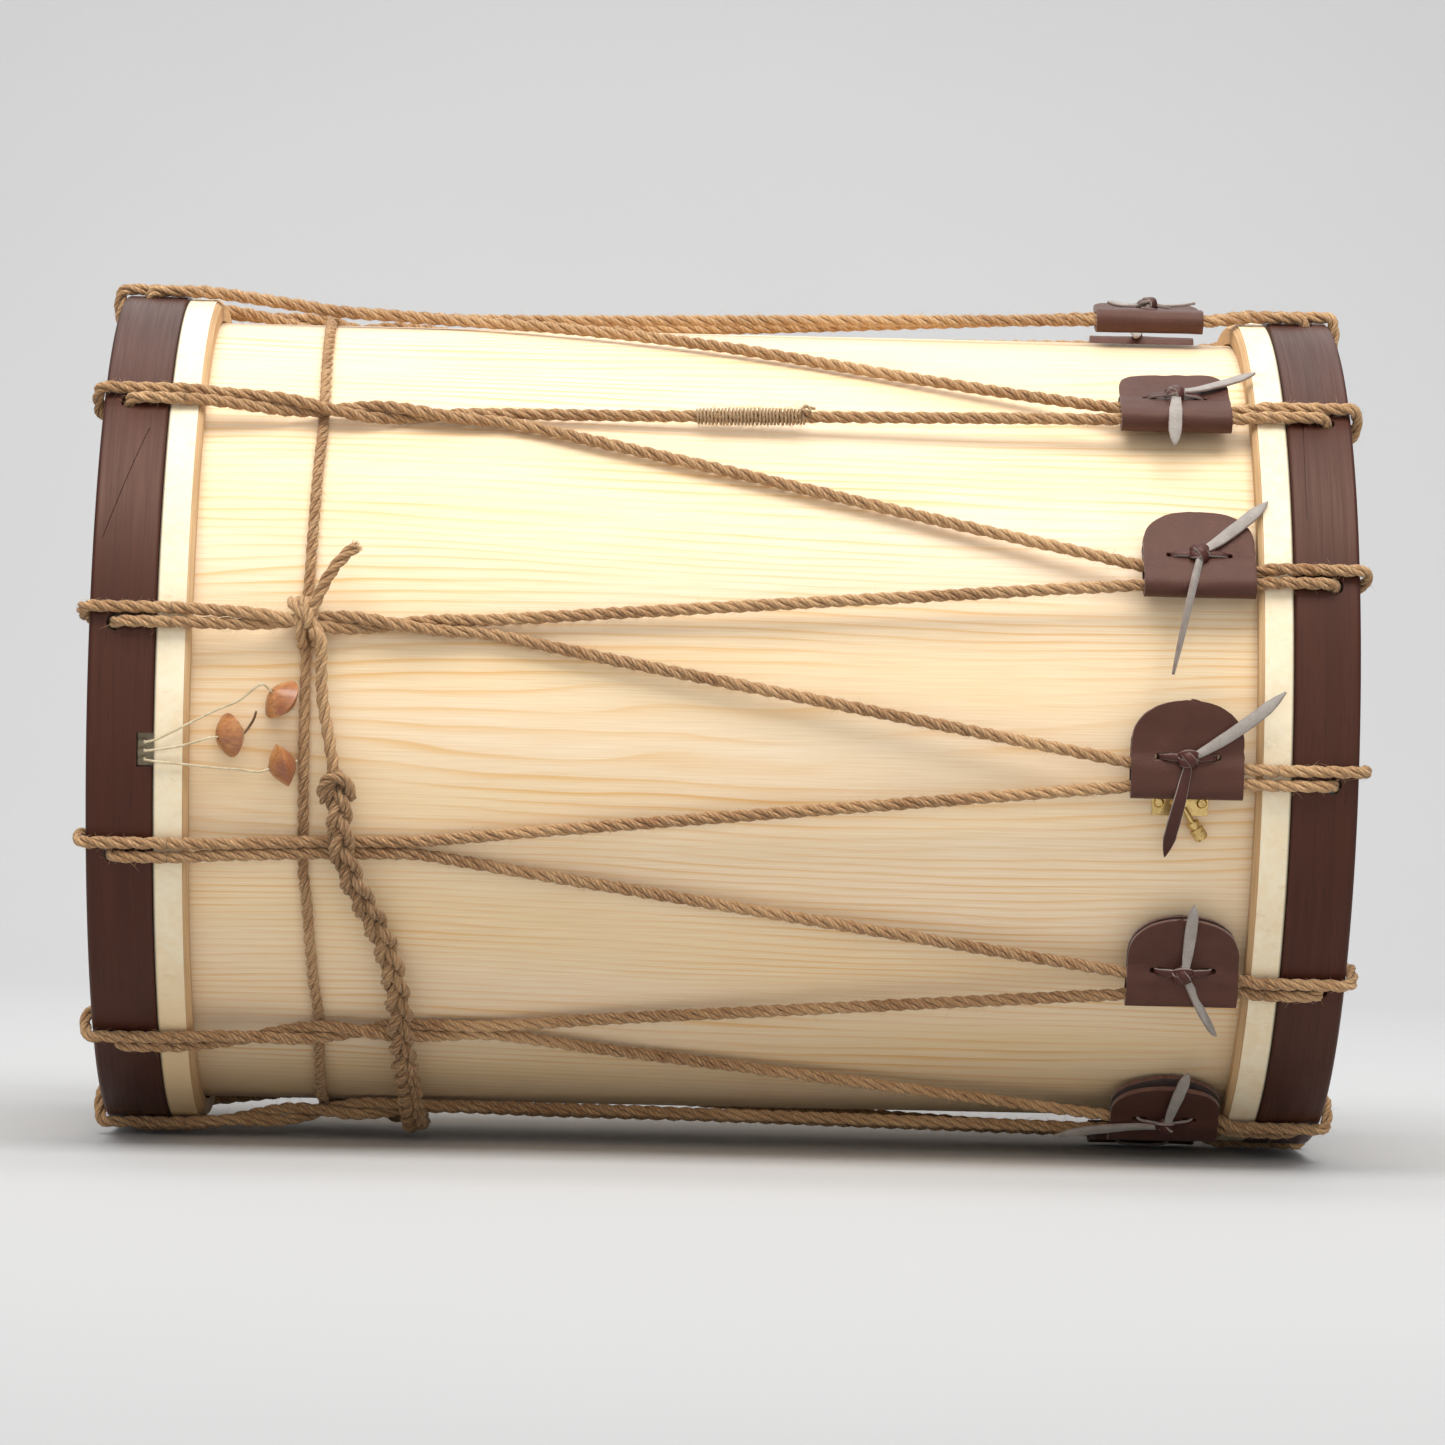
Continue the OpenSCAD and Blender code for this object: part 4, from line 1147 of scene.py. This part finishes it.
def tail_path(spec):
    """A tail's path on its tug, in millimetres, flat on the ears and below them falling to the shell."""
    start, bend, length = spec[:3]
    q = np.linspace(0, 1, 30)
    heading = np.radians(start + bend * q)
    step = length / 29
    x = KNOT_AT[0] + np.concatenate([[0], np.cumsum(np.cos(heading[:-1]) * step)])
    y = KNOT_AT[1] + np.concatenate([[0], np.cumsum(np.sin(heading[:-1]) * step)])
    falls = max(0.0, -sin(radians(start)))
    on_ear = 7.9 - 1.6 * np.minimum(1, q * 4) + 1.6 * np.maximum(0, q - 0.55) ** 1.2 * 2.2
    z = on_ear - falls * 15 * np.maximum(0, -y - 9) ** 1.3 / 60
    return np.column_stack([x, y, z])


def wrap_path(s):
    """Through both slots, round the back and up to the knot. s is 1, or -1 for a knot on the shell side."""
    half = [(1.2, 8.4, 7.2), (4, 8.6, 6.6), (8, 8.8, 5.9), (10.8, 8.9, 5.3), (12.8, 8.9, 4), (13.2, 8.9, 1.5)]
    back = [(13.2, 8.9, -1.5), (12.9, 8.9, -4), (11.2, 8.9, -5.5), (7, 8.9, -6.1)]
    right = half + back
    left = [(-x, y, z) for x, y, z in right[::-1]]
    return [(x, y, s * z) for x, y, z in right + left]


KNOT_LOBES = [
    ([(-4.6, 7.8, 5.6), (-3.4, 9.6, 7.8), (0, 10.6, 8.8), (3.4, 9.8, 8.0), (4.4, 8.2, 5.8)], 3.8),
    ([(4.2, 9.4, 5.8), (2.2, 6.9, 8.4), (-1.2, 6.0, 8.8), (-3.8, 7.0, 7.4), (-4.4, 8.8, 5.6)], 3.6),
    ([(-2.4, 11.4, 6.0), (-0.9, 9.8, 9.3), (0.9, 7.4, 9.8), (2.2, 5.2, 8.4), (2.4, 4.4, 5.9)], 4.2),
]


def thong(k):
    place = TugFrame(k)
    s = -1 if k == 6 else 1
    b = Builder()
    rng = np.random.default_rng(800 + k)
    path = spline(place.points(wrap_path(s)), 0.0008)
    at = np.abs(lengths(path) / lengths(path)[-1] - 0.5) * 2
    widths = np.interp(at, [0, 0.42, 0.55, 0.66, 0.8, 1], [4.6, 4.4, 2.5, 2.2, 3.2, 3.6]) * MM
    ribbon(b, path, -s * place.y, widths, LACE_T * MM, GRAIN_OUT)
    for points, width in KNOT_LOBES:
        path = spline(place.points([(x + rng.uniform(-0.3, 0.3), y, s * z) for x, y, z in points]), 0.0006)
        q = np.linspace(0, 1, len(path))
        side = np.cross(path[-1] - path[0], place.z) * s
        ribbon(b, path, side, width * MM * (0.7 + 0.3 * np.sin(pi * q)), KNOT_T * MM, GRAIN_OUT)
    for spec in TAILS[k]:
        local = tail_path(spec)
        path = spline(place.points(local[::3]), 0.0012)
        q = np.linspace(0, 1, len(path))
        width, bands, roll_in, roll_out = spec[3:]
        roll = np.radians(np.interp(q, [0, 0.3, 1], [roll_in * 0.4, roll_in, roll_out]))
        wobble = 1 + 0.04 * waves(lengths(path), rng, 0.012)
        side = np.cross(np.gradient(path, axis=0), place.z)
        ribbon(b, path, side, np.interp(q, *TAPER) * width * wobble * MM, LACE_T * MM, bands, roll)
    obj = b.build(f"thong_lace_{k + 1:02d}", [lace_m, lace_back_m, lace_cut_m])
    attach(obj, f"tug_body_{k + 1:02d}")
    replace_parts(obj, f"thong_{k + 1:02d}")


for k in TUGS:
    tug_leather(k)
    thong(k)


# ---- camera, lights and floor

CAMERA_AWAY = 3.0
CAMERA_YAW = radians(-0.94)
CAMERA_ROLL = radians(1.25)
AIM_X, AIM_UP = 2.4 * MM, -1.0 * MM
LENS, SENSOR = 151.1, 36

camera_data = bpy.data.cameras.new("camera")
camera_data.lens, camera_data.sensor_width = LENS, SENSOR
camera = new_object("camera", camera_data)
aim = Vector((AIM_X, 0, AXIS_Z * MM + AIM_UP))
back = Vector((sin(CAMERA_YAW), -cos(CAMERA_YAW), 0))
camera.location = aim + back * CAMERA_AWAY
camera.rotation_mode = "QUATERNION"
camera.rotation_quaternion = Quaternion(back, CAMERA_ROLL) @ (-back).to_track_quat("-Z", "Y")
bpy.context.scene.camera = camera
bpy.context.scene.view_settings.view_transform = "Standard"


def area_light(name, place, size, power, aim_at=(0, 0, 0.2), size_y=None):
    data = bpy.data.lights.new(name, "AREA")
    data.shape = "RECTANGLE"
    data.size, data.size_y = size, size_y or size
    data.energy = power
    light = new_object(name, data)
    light.location = place
    light.rotation_mode = "QUATERNION"
    light.rotation_quaternion = (Vector(aim_at) - Vector(place)).to_track_quat("-Z", "Y")


area_light("key", (0.0, -1.0, 2.1), 2.4, 52, size_y=1.2)
area_light("front_fill", (0.3, -3.4, 0.9), 2.8, 24)
area_light("back_rim", (0.0, 1.8, 2.2), 2.4, 15)
area_light("backdrop", (0.0, 0.9, 2.6), 2.6, 46, aim_at=(0, 2.9, 0.9))

world = bpy.data.worlds.new("studio")
bpy.context.scene.world = world
world.use_nodes = True
background = world.node_tree.nodes["Background"].inputs
background["Color"].default_value = (1, 1, 1, 1)
background["Strength"].default_value = 0.46


def studio_floor():
    """Floor that curves up into a backdrop."""
    flat, bend = 1.6, 1.5
    profile = [(-6, 0), (flat, 0)]
    profile += [(flat + bend * sin(t), bend - bend * cos(t))
                for t in np.linspace(0.1, pi / 2, 14)]
    profile += [(flat + bend, 5)]
    mesh = bpy.data.meshes.new("floor")
    verts = [(x, y, z) for y, z in profile for x in (-7, 7)]
    faces = [(2 * i, 2 * i + 1, 2 * i + 3, 2 * i + 2) for i in range(len(profile) - 1)]
    mesh.from_pydata(verts, [], faces)
    mesh.polygons.foreach_set("use_smooth", [True] * len(faces))
    m = Tree("floor_paper", Roughness=0.9)
    m.set("Base Color", m.mix(m.noise(m.place(), 3.0, 2.0), (0.50, 0.50, 0.50), (0.515, 0.515, 0.515)))
    mesh.materials.append(m.material)
    obj = new_object("floor", mesh)


studio_floor()
